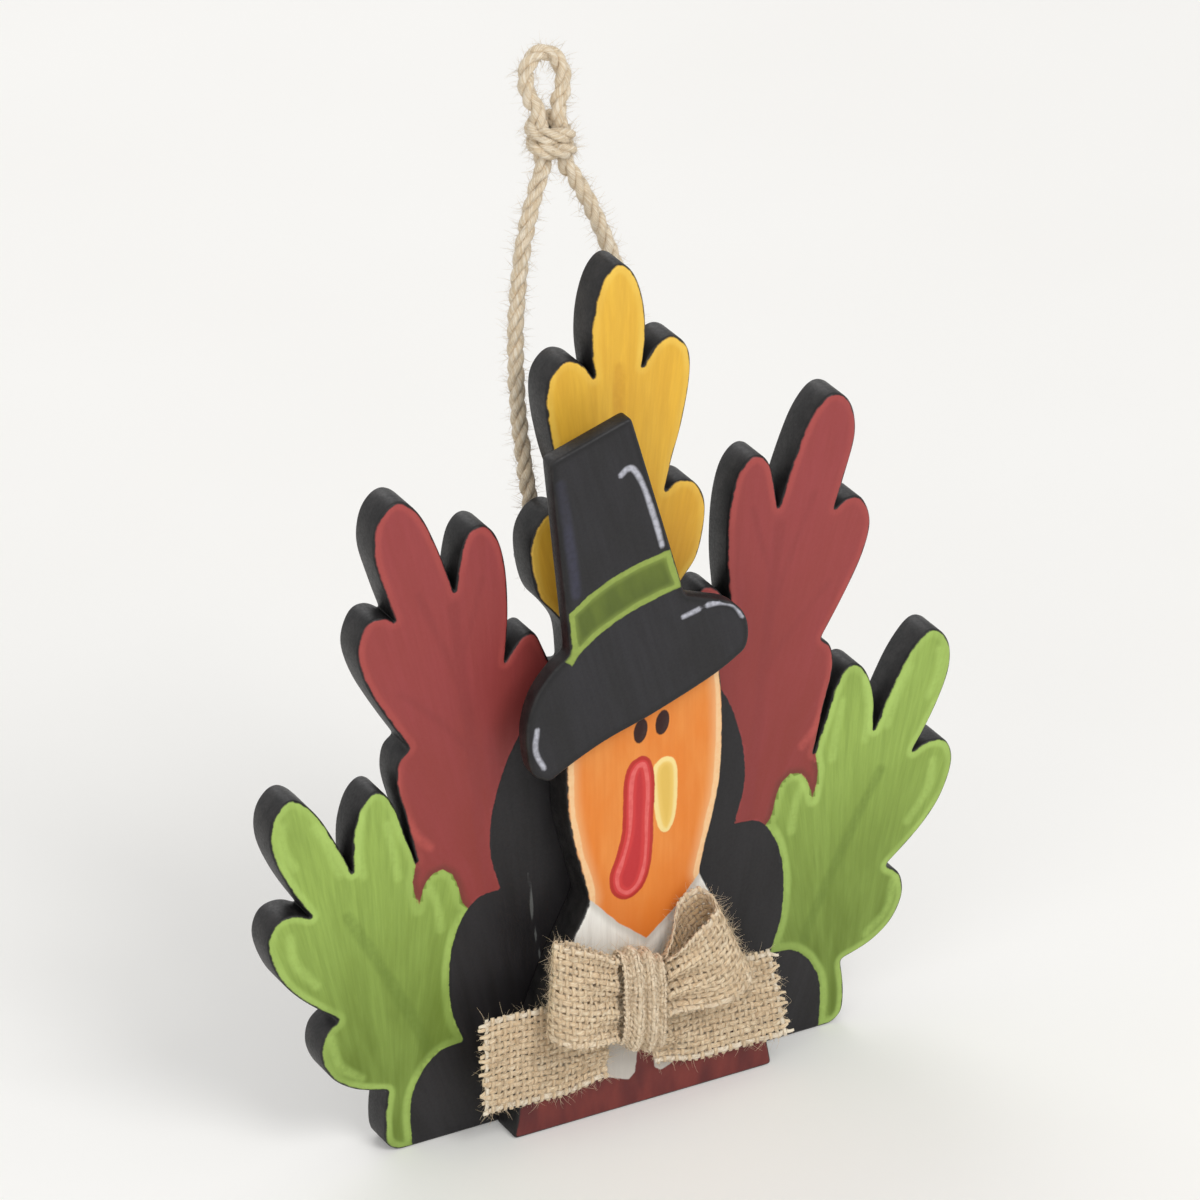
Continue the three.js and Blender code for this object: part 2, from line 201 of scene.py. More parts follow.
boardLook = {
    "cornerAngle": 32, "straight": 6.0, "step": 0.3, "sanding": 8, "rounding": 0.55, "roundingSteps": 3,
    "frontShare": 0.9,
}
capSides = 100  # a face with more sides than this is a whole front or back
cutSnap = 0.002  # a cut goes through a corner that is this close to it
cutSlack = 0.003  # a face that reaches further than this past a cut is cut again


def newPiece(name, bm, material, smooth=True):
    mesh = bpy.data.meshes.new(name)
    if smooth:
        for face in bm.faces:
            face.smooth = len(face.verts) < capSides
    bm.to_mesh(mesh)
    bm.free()
    mesh.materials.append(material)
    piece = bpy.data.objects.new(name, mesh)
    bpy.context.scene.collection.objects.link(piece)
    return piece


def setAttributes(piece, **attributes):
    for name, values in attributes.items():
        layer = piece.data.attributes.new(name, "FLOAT", "POINT")
        layer.data.foreach_set("value", np.asarray(values, np.float32))


# Cuts flat faces into strips a pitch apart along an axis
def cutAlong(bm, faces, axis, pitch):
    places = [v.co[axis] for f in faces for v in f.verts]
    place, end = min(places) + pitch, max(places)
    normal, spot = [0, 0, 0], [0, 0, 0]
    normal[axis] = 1
    done = []
    while place < end and faces:
        spot[axis] = place
        parts = [part for f in faces for part in (*f.verts, *f.edges, f)]
        cut = bmesh.ops.bisect_plane(bm, geom=list(dict.fromkeys(parts)), dist=cutSnap * mm,
                                     plane_co=spot, plane_no=normal)
        pieces = [g for g in cut["geom"] if isinstance(g, bmesh.types.BMFace)]
        faces = [f for f in pieces if max(v.co[axis] for v in f.verts) > place + cutSlack * mm]
        ahead = set(faces)
        done += [f for f in pieces if f not in ahead]
        place += pitch
    return done + faces


# A board sawn to an outline, its edges rounded over and its front cut fine enough to hold the paint
def sawnBoard(name, loop, nodeName, pitch, material):
    low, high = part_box(nodeName)
    bm = bmesh.new()
    ring = [bm.verts.new((x * mm, high.y, z * mm)) for x, z in loop]
    rear = bm.faces.new(ring)
    raised = bmesh.ops.extrude_face_region(bm, geom=[rear])
    lifted = [g for g in raised["geom"] if isinstance(g, bmesh.types.BMVert)]
    bmesh.ops.translate(bm, verts=lifted, vec=(0, low.y - high.y, 0))
    bmesh.ops.recalc_face_normals(bm, faces=bm.faces)
    rims = [e for e in bm.edges if any(len(f.verts) > capSides for f in e.link_faces)]
    bmesh.ops.bevel(bm, geom=rims, offset=boardLook["rounding"] * mm, offset_type="OFFSET", profile=0.5,
                    segments=boardLook["roundingSteps"], affect="EDGES", material=-1, clamp_overlap=False)
    front = min((f for f in bm.faces if len(f.verts) > capSides), key=lambda f: f.calc_center_median().y)
    strips = cutAlong(bm, [front], 0, pitch * mm)
    cutAlong(bm, strips, 2, pitch * mm)
    return newPiece(name, bm, material)


def meshPoints(piece):
    points = np.empty(len(piece.data.vertices) * 3, np.float32)
    piece.data.vertices.foreach_get("co", points)
    return points.reshape(-1, 3).astype(float) / mm


# Depth from the rim on a board's front face and its rounding, and below zero on the sides and back
def rimDepth(points, loop, nodeName):
    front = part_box(nodeName)[0].y / mm
    depth = reachTo(points[:, [0, 2]], np.vstack([loop, loop[:1]]))
    return np.where(points[:, 1] < front + boardLook["rounding"] * boardLook["frontShare"], depth, -1.0)


def raiseFront(piece, heights):
    points = meshPoints(piece)
    points[:, 1] -= heights
    piece.data.vertices.foreach_set("co", (points * mm).astype(np.float32).ravel())
    piece.data.update()


def smoothShare(values, low, high):
    share = np.clip((values - low) / (high - low), 0, 1)
    return share * share * (3 - 2 * share)


# Shader helpers


def paint(red, green, blue):
    channels = []
    for channel in (red, green, blue):
        c = channel / 255
        channels.append(c / 12.92 if c <= 0.04045 else ((c + 0.055) / 1.055) ** 2.4)
    return (*channels, 1.0)


def addNode(tree, kind, **settings):
    node = tree.nodes.new(kind)
    for key, value in settings.items():
        setattr(node, key, value)
    return node


def feed(tree, socket, value):
    if isinstance(value, bpy.types.NodeSocket):
        tree.links.new(value, socket)
    else:
        socket.default_value = value


def calc(tree, operation, *values, clamp=False):
    node = addNode(tree, "ShaderNodeMath", operation=operation, use_clamp=clamp)
    for socket, value in zip(node.inputs, values):
        feed(tree, socket, value)
    return node.outputs[0]


def mixColour(tree, share, first, second):
    node = addNode(tree, "ShaderNodeMix", data_type="RGBA", blend_type="MIX", clamp_factor=True)
    for socket, value in zip((node.inputs[0], node.inputs[6], node.inputs[7]), (share, first, second)):
        feed(tree, socket, value)
    return node.outputs[2]


def mixShare(tree, share, first, second):
    node = addNode(tree, "ShaderNodeMix", data_type="FLOAT", clamp_factor=True)
    for socket, value in zip(node.inputs[:1] + node.inputs[2:4], (share, first, second)):
        feed(tree, socket, value)
    return node.outputs[0]


def fade(tree, value, low, high, start=0.0, end=1.0):
    node = addNode(tree, "ShaderNodeMapRange", interpolation_type="SMOOTHSTEP")
    for socket, given in zip(node.inputs, (value, low, high, start, end)):
        feed(tree, socket, given)
    return node.outputs[0]


def noise(tree, vector, scale, detail=2.0, roughness=0.5):
    node = addNode(tree, "ShaderNodeTexNoise")
    for name, value in (("Vector", vector), ("Scale", scale), ("Detail", detail), ("Roughness", roughness)):
        feed(tree, node.inputs[name], value)
    return node.outputs["Fac"]


def joinVector(tree, x, y, z):
    node = addNode(tree, "ShaderNodeCombineXYZ")
    for socket, value in zip(node.inputs, (x, y, z)):
        feed(tree, socket, value)
    return node.outputs[0]


def readAttribute(tree, name, output="Fac"):
    return addNode(tree, "ShaderNodeAttribute", attribute_name=name).outputs[output]


# The object's own coordinates in millimetres
def ownPlace(tree):
    coordinates = addNode(tree, "ShaderNodeTexCoord")
    scaled = addNode(tree, "ShaderNodeVectorMath", operation="SCALE")
    feed(tree, scaled.inputs[0], coordinates.outputs["Object"])
    scaled.inputs["Scale"].default_value = 1 / mm
    return scaled.outputs[0]


# Lays a coat over a colour at a share of a mask
def layOver(tree, colour, mask, share, coat):
    return mixColour(tree, calc(tree, "MULTIPLY", mask, share), colour, coat)


# Lays a coat over a colour at a share that grows while a value runs between two ends
def fadeOver(tree, colour, value, ends, share, coat):
    return mixColour(tree, fade(tree, value, *ends, 0.0, share), colour, coat)


def newGroup(name, inputs, outputs):
    tree = bpy.data.node_groups.new(name, "ShaderNodeTree")
    for socketName, value in inputs.items():
        kind = "NodeSocketFloat" if isinstance(value, float) else "NodeSocketVector"
        socket = tree.interface.new_socket(name=socketName, in_out="INPUT", socket_type=kind)
        socket.default_value = value
    for socketName in outputs:
        tree.interface.new_socket(name=socketName, in_out="OUTPUT", socket_type="NodeSocketFloat")
    return tree, addNode(tree, "NodeGroupInput").outputs, addNode(tree, "NodeGroupOutput").inputs


def useGroup(tree, group, **values):
    node = addNode(tree, "ShaderNodeGroup", node_tree=group)
    for name, value in values.items():
        feed(tree, node.inputs[name], value)
    return node.outputs


# Brush streaks that run along a leaf or a board. A noise is a scale, a detail and a roughness.
brushworkLook = {
    "streakLength": 0.06, "streakNoise": (1.0, 5.0, 0.62), "streakFade": (0.3, 0.7),
    "patchWidth": 0.16, "patchLength": 0.05, "patchNoise": (1.0, 3.0, 0.55), "patchFade": (0.32, 0.68),
    "patchHeight": 0.4,
}


def brushworkGroup(look):
    tree, given, out = newGroup("brushwork", {"across": 0.0, "along": 0.0, "fineness": 1.0, "seed": 0.0},
                                ("streak", "patch", "height"))
    across = calc(tree, "MULTIPLY", given["across"], given["fineness"])
    along = calc(tree, "MULTIPLY", given["along"], given["fineness"])
    fine = joinVector(tree, across, calc(tree, "MULTIPLY", along, look["streakLength"]), given["seed"])
    broad = joinVector(tree, calc(tree, "MULTIPLY", across, look["patchWidth"]),
                       calc(tree, "MULTIPLY", along, look["patchLength"]), given["seed"])
    streak = noise(tree, fine, *look["streakNoise"])
    patch = noise(tree, broad, *look["patchNoise"])
    feed(tree, out["streak"], fade(tree, streak, *look["streakFade"]))
    feed(tree, out["patch"], fade(tree, patch, *look["patchFade"]))
    feed(tree, out["height"], calc(tree, "MULTIPLY_ADD", patch, look["patchHeight"], streak))
    return tree


raggedDetail, raggedRoughness = 3.0, 0.6


# The cover of a painted shape, from the depth inside its outline
def coverGroup():
    tree, given, out = newGroup("paintCover", {"depth": 0.0, "wobble": 0.15, "grain": 0.9, "softness": 0.12},
                                ("mask",))
    ragged = noise(tree, ownPlace(tree), given["grain"], raggedDetail, raggedRoughness)
    ragged = calc(tree, "SUBTRACT", ragged, 0.5)
    depth = calc(tree, "MULTIPLY_ADD", ragged, calc(tree, "MULTIPLY", given["wobble"], 2.0), given["depth"])
    low = calc(tree, "MULTIPLY", given["softness"], -1.0)
    feed(tree, out["mask"], fade(tree, depth, low, given["softness"]))
    return tree


# A brushed line at a depth inside an outline, thinner and thicker along its way
brushLineLook = {
    "slowNoise": (0.16, 2.0, 0.5), "quickNoise": (1.1, 2.0, 0.5), "broadNoise": (0.07, 1.0, 0.5),
    "swell": (0.25, 0.75, 0.45, 1.5), "dryFade": (0.62, 0.3), "gapFade": (0.56, 0.42),
}


def brushLineGroup(look):
    tree, given, out = newGroup("brushLine", {"depth": 0.0, "centre": 0.0, "width": 0.5, "softness": 0.25,
                                              "dryness": 0.4, "gaps": 0.0, "seed": 0.0}, ("mask",))
    moved = addNode(tree, "ShaderNodeVectorMath", operation="ADD")
    feed(tree, moved.inputs[0], ownPlace(tree))
    feed(tree, moved.inputs[1], joinVector(tree, given["seed"], given["seed"], given["seed"]))
    slow, quick, broad = (noise(tree, moved.outputs[0], *look[name + "Noise"])
                          for name in ("slow", "quick", "broad"))
    offset = calc(tree, "ABSOLUTE", calc(tree, "SUBTRACT", given["depth"], given["centre"]))
    half = calc(tree, "MULTIPLY", calc(tree, "MULTIPLY", given["width"], 0.5),
                fade(tree, slow, *look["swell"]))
    line = fade(tree, calc(tree, "SUBTRACT", offset, half), given["softness"], 0.0)

    def partly(value, ends, amount):
        absent = calc(tree, "MULTIPLY", amount, fade(tree, value, *ends))
        return calc(tree, "SUBTRACT", 1.0, absent)

    worn = calc(tree, "MULTIPLY", partly(quick, look["dryFade"], given["dryness"]),
                partly(broad, look["gapFade"], given["gaps"]))
    feed(tree, out["mask"], calc(tree, "MULTIPLY", line, worn, clamp=True))
    return tree


# Where the colour has rubbed off or never reached, along a rounded edge
edgeWearLook = {
    "raggedNoise": (0.45, 4.0, 0.6), "spread": (0.25, 0.8, 0.5, 1.5), "edgeSoftness": 0.14,
    "chipNoise": (1.3, 6.0, 0.75), "chipFade": (0.66, 0.7), "chipReach": (2.6, 0.4),
}


def edgeWearGroup(look):
    tree, given, out = newGroup("edgeWear", {"edge": 0.0, "width": 0.5, "chips": 0.5}, ("bare", "chip"))
    place = ownPlace(tree)
    ragged = noise(tree, place, *look["raggedNoise"])
    wide = calc(tree, "MULTIPLY", given["width"], fade(tree, ragged, *look["spread"]))
    past = calc(tree, "SUBTRACT", given["edge"], wide)
    feed(tree, out["bare"], fade(tree, past, look["edgeSoftness"], -look["edgeSoftness"]))
    chip = fade(tree, noise(tree, place, *look["chipNoise"]), *look["chipFade"])
    near = fade(tree, given["edge"], *look["chipReach"])
    feed(tree, out["chip"], calc(tree, "MULTIPLY", calc(tree, "MULTIPLY", chip, near), given["chips"]))
    return tree


# Twisted fibres round a thread. lay holds the turn about the thread and the length along it.
fibreTwistLook = {
    "strandLength": 0.12, "strandNoise": (1.0, 4.0, 0.6), "strandFade": (0.32, 0.68),
    "slubLength": 0.25, "slubNoise": (1.0, 2.0, 0.5), "slubFade": (0.3, 0.7),
}


def fibreTwistGroup(look):
    tree, given, out = newGroup("fibreTwist", {"lay": (0.0, 0.0, 0.0), "turns": 0.5, "fineness": 2.0,
                                               "seed": 0.0}, ("strand", "height", "slub"))
    parts = addNode(tree, "ShaderNodeSeparateXYZ")
    feed(tree, parts.inputs[0], given["lay"])
    along = parts.outputs[2]
    turned = addNode(tree, "ShaderNodeVectorRotate", rotation_type="Z_AXIS")
    feed(tree, turned.inputs["Vector"], joinVector(tree, parts.outputs[0], parts.outputs[1], 0.0))
    feed(tree, turned.inputs["Angle"], calc(tree, "MULTIPLY", along, given["turns"]))
    spun = addNode(tree, "ShaderNodeSeparateXYZ")
    feed(tree, spun.inputs[0], turned.outputs[0])
    x = calc(tree, "MULTIPLY_ADD", spun.outputs[0], given["fineness"], given["seed"])
    y = calc(tree, "MULTIPLY", spun.outputs[1], given["fineness"])
    z = calc(tree, "MULTIPLY", along, look["strandLength"])
    strand = noise(tree, joinVector(tree, x, y, z), *look["strandNoise"])
    slow = joinVector(tree, given["seed"], 0.0, calc(tree, "MULTIPLY", along, look["slubLength"]))
    feed(tree, out["strand"], fade(tree, strand, *look["strandFade"]))
    feed(tree, out["height"], strand)
    feed(tree, out["slub"], fade(tree, noise(tree, slow, *look["slubNoise"]), *look["slubFade"]))
    return tree


brushwork = brushworkGroup(brushworkLook)
paintCover = coverGroup()
brushLine = brushLineGroup(brushLineLook)
edgeWear = edgeWearGroup(edgeWearLook)
fibreTwist = fibreTwistGroup(fibreTwistLook)


def coverMask(tree, depth, **settings):
    return useGroup(tree, paintCover, depth=depth, **settings)["mask"]


def lineMask(tree, depth, line):
    return useGroup(tree, brushLine, depth=depth, **line)["mask"]


def newMaterial(name):
    material = bpy.data.materials.new(name)
    material.use_nodes = True
    tree = material.node_tree
    return material, tree, tree.nodes["Principled BSDF"]


def addBump(tree, shader, height, strength, distance):
    bump = addNode(tree, "ShaderNodeBump")
    bump.inputs["Strength"].default_value = strength
    bump.inputs["Distance"].default_value = distance * mm
    feed(tree, bump.inputs["Height"], height)
    tree.links.new(bump.outputs[0], shader.inputs["Normal"])


# Black edges and back, the worn rim and the sheen that the three boards share
blackPaint = {
    "black": paint(17, 16, 17), "dustyBlack": paint(38, 36, 36), "rimWidth": 0.32, "chips": 0.3,
    "mottleNoise": (0.35, 4.0, 0.6), "mottleFade": (0.35, 0.7), "fineNoise": (2.2, 3.0, 0.6),
    "roughness": (0.44, 0.58), "roughFade": (0.3, 0.7), "specular": 0.35,
    "bump": 0.35, "bumpDepth": 0.1, "fineRelief": 0.35,
}


def finishBoard(tree, shader, colour, relief, look):
    wear = useGroup(tree, edgeWear, edge=readAttribute(tree, "edge"), width=look["rimWidth"],
                    chips=look["chips"])
    place = ownPlace(tree)
    black = fadeOver(tree, look["black"], noise(tree, place, *look["mottleNoise"]), look["mottleFade"], 1.0,
                     look["dustyBlack"])
    colour = mixColour(tree, wear["chip"], colour, look["dustyBlack"])
    colour = mixColour(tree, wear["bare"], colour, black)
    feed(tree, shader.inputs["Base Color"], colour)
    fine = noise(tree, place, *look["fineNoise"])
    feed(tree, shader.inputs["Roughness"], fade(tree, fine, *look["roughFade"], *look["roughness"]))
    shader.inputs["Specular IOR Level"].default_value = look["specular"]
    height = calc(tree, "MULTIPLY_ADD", relief, calc(tree, "SUBTRACT", 1.0, wear["bare"]),
                  calc(tree, "MULTIPLY", fine, look["fineRelief"]))
    addBump(tree, shader, height, look["bump"], look["bumpDepth"])


print("outlines")
fanLoop = sandedLoop("fan_board", boardLook)
bodyLoop = sandedLoop("body_board", boardLook)
hatLoop = sandedLoop("hat_board", boardLook)

# Fan board: leaves, and the dark wings over them. Its lines are drawn for the left half, which the right
# half mirrors, and only the loose thread lies on one side alone.

fanLook = {
    "pitch": 0.7,
    "red": paint(158, 68, 66), "redTip": paint(160, 68, 71), "redStroke": paint(200, 92, 84),
    "redVein": paint(137, 56, 55), "redDeep": paint(143, 58, 52),
    "green": paint(162, 190, 90), "greenTip": paint(160, 188, 92), "greenStroke": paint(182, 212, 112),
    "greenVein": paint(100, 124, 44), "greenDeep": paint(100, 121, 38),
    "yellow": paint(242, 188, 58), "yellowTip": paint(246, 200, 76), "yellowStroke": paint(252, 214, 98),
    "yellowVein": paint(206, 142, 38), "yellowDeep": paint(202, 138, 38),
    "wing": paint(25, 23, 24), "wingLight": paint(44, 42, 45), "shade": paint(96, 52, 38),
    "thread": paint(112, 114, 112),
    "yellowSide": ((-7.5, 70), (-8.4, 80), (-9.9, 83.5), (-12.2, 88), (-15.2, 91.8), (-17.8, 95),
                   (-17.8, 160)),
    "yellowCorners": ((20, 160), (20, 70)),
    "wingEdges": (
        ((-9.8, 77.7), (-15.8, 74.2), (-20.3, 67.2), (-23.1, 58.5), (-23.5, 50.8), (-21.7, 43.8)),
        ((-21.7, 43.8), (-26.3, 43.1), (-29.8, 38.2), (-31.2, 31.2), (-30.8, 23.5), (-28.7, 17.2)),
        ((-28.7, 17.2), (-33.3, 16.5), (-36.8, 13), (-38.6, 7.7), (-38.2, -2)),
    ),
    "wingCorners": ((20, -2), (20, 77.7)),
    "greenTop": ((-90, 90), (-60, 84), (-44, 76), (-41.3, 68), (-39.9, 64), (-38.7, 60), (-37.4, 55.5),
                 (-37, 52.5), (-37.5, 49.5), (-37.2, 47), (-36.6, 44.3), (-36.2, 46.1), (-35.5, 48.3),
                 (-34.2, 50), (-32.2, 50.4), (-30.4, 49), (-29.4, 46.4), (-28.8, 43.4), (-27, 41), (-27, 36)),
    "greenCorners": ((-28, -10), (-90, -10)),
    "veins": (
        ((-29.7, 97), (-28.1, 83.2), (-26.4, 68.6), (-25.4, 55.3), (-24, 44)),
        ((-35.4, 18), (-37.6, 23.5), (-40.3, 29.1), (-45.8, 39.8), (-49.5, 46.5)),
        ((0, 78), (0, 108), (0, 132)),
    ),
    "sideVeins": (
        ((-28, 81), (-31.4, 90), (-36, 101)),
        ((-26.6, 70), (-32, 77), (-39, 84)),
        ((-28.6, 87), (-26.4, 94), (-24.6, 101)),
        ((0, 98), (5, 108), (8, 117)),
    ),
    "strokes": (
        ((-40.3, 70.6), (-39.9, 64.6), (-37.3, 58.6), (-34.4, 55)),
        ((-54.8, 64.4), (-52.4, 59.6), (-50.6, 54.4)),
        ((-60.4, 66.2), (-60.6, 62.4), (-58.6, 58)),
        ((-41.9, 61.4), (-41, 56.4), (-40.2, 51)),
        ((-46.4, 64), (-47, 58.6), (-46.4, 53)),
        ((-59.6, 45.4), (-58.8, 40.4), (-55, 35.2)),
        ((-52.6, 24.6), (-51.4, 19.4), (-47.4, 15.6)),
        ((-34.4, 47.4), (-33.2, 44), (-32.6, 39.4)),
    ),
    "threadRoute": ((-16.5, 45.5), (-16.2, 41), (-15.8, 36.5), (-15, 31.5), (-14.2, 27), (-13.8, 22),
                    (-14.3, 17)),
    # Brush strokes fan out from a foot below each leaf and wing, and the right half has other streaks
    "feet": {"red": (-20, 24), "green": (-41, -16), "yellow": (0, 46), "wing": (-10, -60)},
    "leafSpread": 60, "wingSpread": 90, "otherHalf": 200, "thinner": 0.45,
    # Coats of paint: where each one fades, in millimetres, and how strong it is
    "deepFade": (78.0, 26.0), "tipFade": (70.0, 110.0), "tipShare": 0.7, "patchShare": 0.45,
    "streakShare": 0.3, "fineShare": 0.16, "veinShare": 0.42, "shadeFade": (-1.6, 0.1), "shadeShare": 0.55,
    "redRim": 0.25, "greenRim": 0.52, "yellowRim": 0.4, "glowFade": (2.0, 0.3), "glowShare": 0.5,
    "strokeShare": 0.5, "wingStreak": 0.35, "wingPatch": 0.45, "threadShare": 0.75,
    "greenWobble": 0.25, "wingWobble": 0.22, "brushRelief": 0.5, "wingRelief": 0.5,
    "brush": {"fineness": 0.9, "seed": 1.0},
    "fineBrush": {"fineness": 2.6, "seed": 21.0},
    "wingBrush": {"fineness": 0.6, "seed": 4.0},
    "veinLine": {"width": 0.9, "softness": 1.1, "dryness": 0.3, "seed": 5.0},
    "rimLine": {"centre": 0.8, "width": 0.3, "softness": 0.75, "dryness": 0.2, "gaps": 0.7, "seed": 11.0},
    "strokeLine": {"width": 0.3, "softness": 1.2, "dryness": 0.3, "seed": 17.0},
    "threadLine": {"width": 0.3, "softness": 0.2, "dryness": 0.1, "gaps": 0.1, "seed": 2.0},
}


def fanPaint(piece, look):
    points = meshPoints(piece)
    flat = points[:, [0, 2]]
    side = np.column_stack([-np.abs(flat[:, 0]), flat[:, 1]])
    edge = rimDepth(points, fanLoop, "fan_board")
    wingLine = np.vstack([curveThrough(run, routeStep) for run in look["wingEdges"]])
    wing = depthBeyond(side, wingLine, look["wingCorners"])
    green = depthBeyond(side, look["greenTop"], look["greenCorners"])
    yellow = depthBeyond(side, look["yellowSide"], look["yellowCorners"])
    lobeRim = np.where(green > 0, np.minimum(edge, np.minimum(green, -wing)), edge)
    lobeRim = np.where(yellow > 0, np.minimum(lobeRim, yellow), lobeRim)
    vein = np.minimum(reachToRoutes(side, look["veins"]),
                      reachToRoutes(side, look["sideVeins"]) + look["thinner"])
    foot = np.tile(np.array(look["feet"]["red"], float), (len(side), 1))
    for name, depth in (("green", green), ("yellow", yellow), ("wing", wing)):
        foot[depth > 0] = look["feet"][name]
    arm = side - foot
    across = np.arctan2(arm[:, 0], arm[:, 1]) * np.where(wing > 0, look["wingSpread"], look["leafSpread"])
    setAttributes(piece, edge=edge, lobeRim=lobeRim, wing=wing, green=green, yellow=yellow, vein=vein,
                  stroke=reachToRoutes(side, look["strokes"]),
                  across=across + np.where(flat[:, 0] > 0, look["otherHalf"], 0),
                  along=np.linalg.norm(arm, axis=1),
                  thread=reachToRoutes(flat, [look["threadRoute"]]))


def leafMaterial(look):
    material, tree, shader = newMaterial("leaf_paint")
    names = ("across", "along", "lobeRim", "green", "yellow", "vein", "stroke", "wing", "thread")
    across, along, rim, green, yellow, vein, stroke, wing, thread = (readAttribute(tree, n) for n in names)
    greenMask = coverMask(tree, green, wobble=look["greenWobble"])
    yellowMask = coverMask(tree, yellow)

    # The paint of one kind on each of the three leaves
    def byLeaf(kind):
        redGreen = mixColour(tree, greenMask, look["red" + kind], look["green" + kind])
        return mixColour(tree, yellowMask, redGreen, look["yellow" + kind])

    brush = useGroup(tree, brushwork, across=across, along=along, **look["brush"])
    fine = useGroup(tree, brushwork, across=across, along=along, **look["fineBrush"])
    colour = fadeOver(tree, byLeaf(""), along, look["deepFade"], 1.0, byLeaf("Deep"))
    colour = fadeOver(tree, colour, along, look["tipFade"], look["tipShare"], byLeaf("Tip"))
    colour = layOver(tree, colour, brush["patch"], look["patchShare"], byLeaf("Tip"))
    colour = layOver(tree, colour, brush["streak"], look["streakShare"], byLeaf("Deep"))
    colour = layOver(tree, colour, fine["streak"], look["fineShare"], byLeaf("Vein"))
    colour = layOver(tree, colour, lineMask(tree, vein, look["veinLine"]), look["veinShare"], byLeaf("Vein"))

    # The red is darker where it meets the green
    shade = fade(tree, green, *look["shadeFade"], 0.0, look["shadeShare"])
    colour = layOver(tree, colour, shade, calc(tree, "SUBTRACT", 1.0, greenMask), look["shade"])

    # Paler rims and strokes, strongest on the green
    rimShare = mixShare(tree, greenMask, look["redRim"], look["greenRim"])
    rimShare = mixShare(tree, yellowMask, rimShare, look["yellowRim"])
    glowShare = calc(tree, "MULTIPLY", rimShare, look["glowShare"])
    colour = layOver(tree, colour, fade(tree, rim, *look["glowFade"]), glowShare, byLeaf("Stroke"))
    colour = layOver(tree, colour, lineMask(tree, rim, look["rimLine"]), rimShare, byLeaf("Stroke"))
    colour = layOver(tree, colour, lineMask(tree, stroke, look["strokeLine"]), look["strokeShare"],
                     byLeaf("Stroke"))

    wingBrush = useGroup(tree, brushwork, across=across, along=along, **look["wingBrush"])
    wingMask = coverMask(tree, wing, wobble=look["wingWobble"])
    wingShare = calc(tree, "MULTIPLY_ADD", wingBrush["streak"], look["wingStreak"],
                     calc(tree, "MULTIPLY", wingBrush["patch"], look["wingPatch"]))
    dark = mixColour(tree, wingShare, look["wing"], look["wingLight"])
    dark = layOver(tree, dark, lineMask(tree, thread, look["threadLine"]), look["threadShare"],
                   look["thread"])
    colour = mixColour(tree, wingMask, colour, dark)
    relief = calc(tree, "ADD", calc(tree, "MULTIPLY", brush["height"], look["brushRelief"]),
                  calc(tree, "MULTIPLY", wingMask, look["wingRelief"]))
    finishBoard(tree, shader, colour, relief, blackPaint)
    return material


print("fan board")
fanBoard = sawnBoard("painted_fan", fanLoop, "fan_board", fanLook["pitch"], leafMaterial(fanLook))
fanPaint(fanBoard, fanLook)
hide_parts("fan_board")
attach(fanBoard, "figure")

# Body board: face, wattle and beak, collar and vest

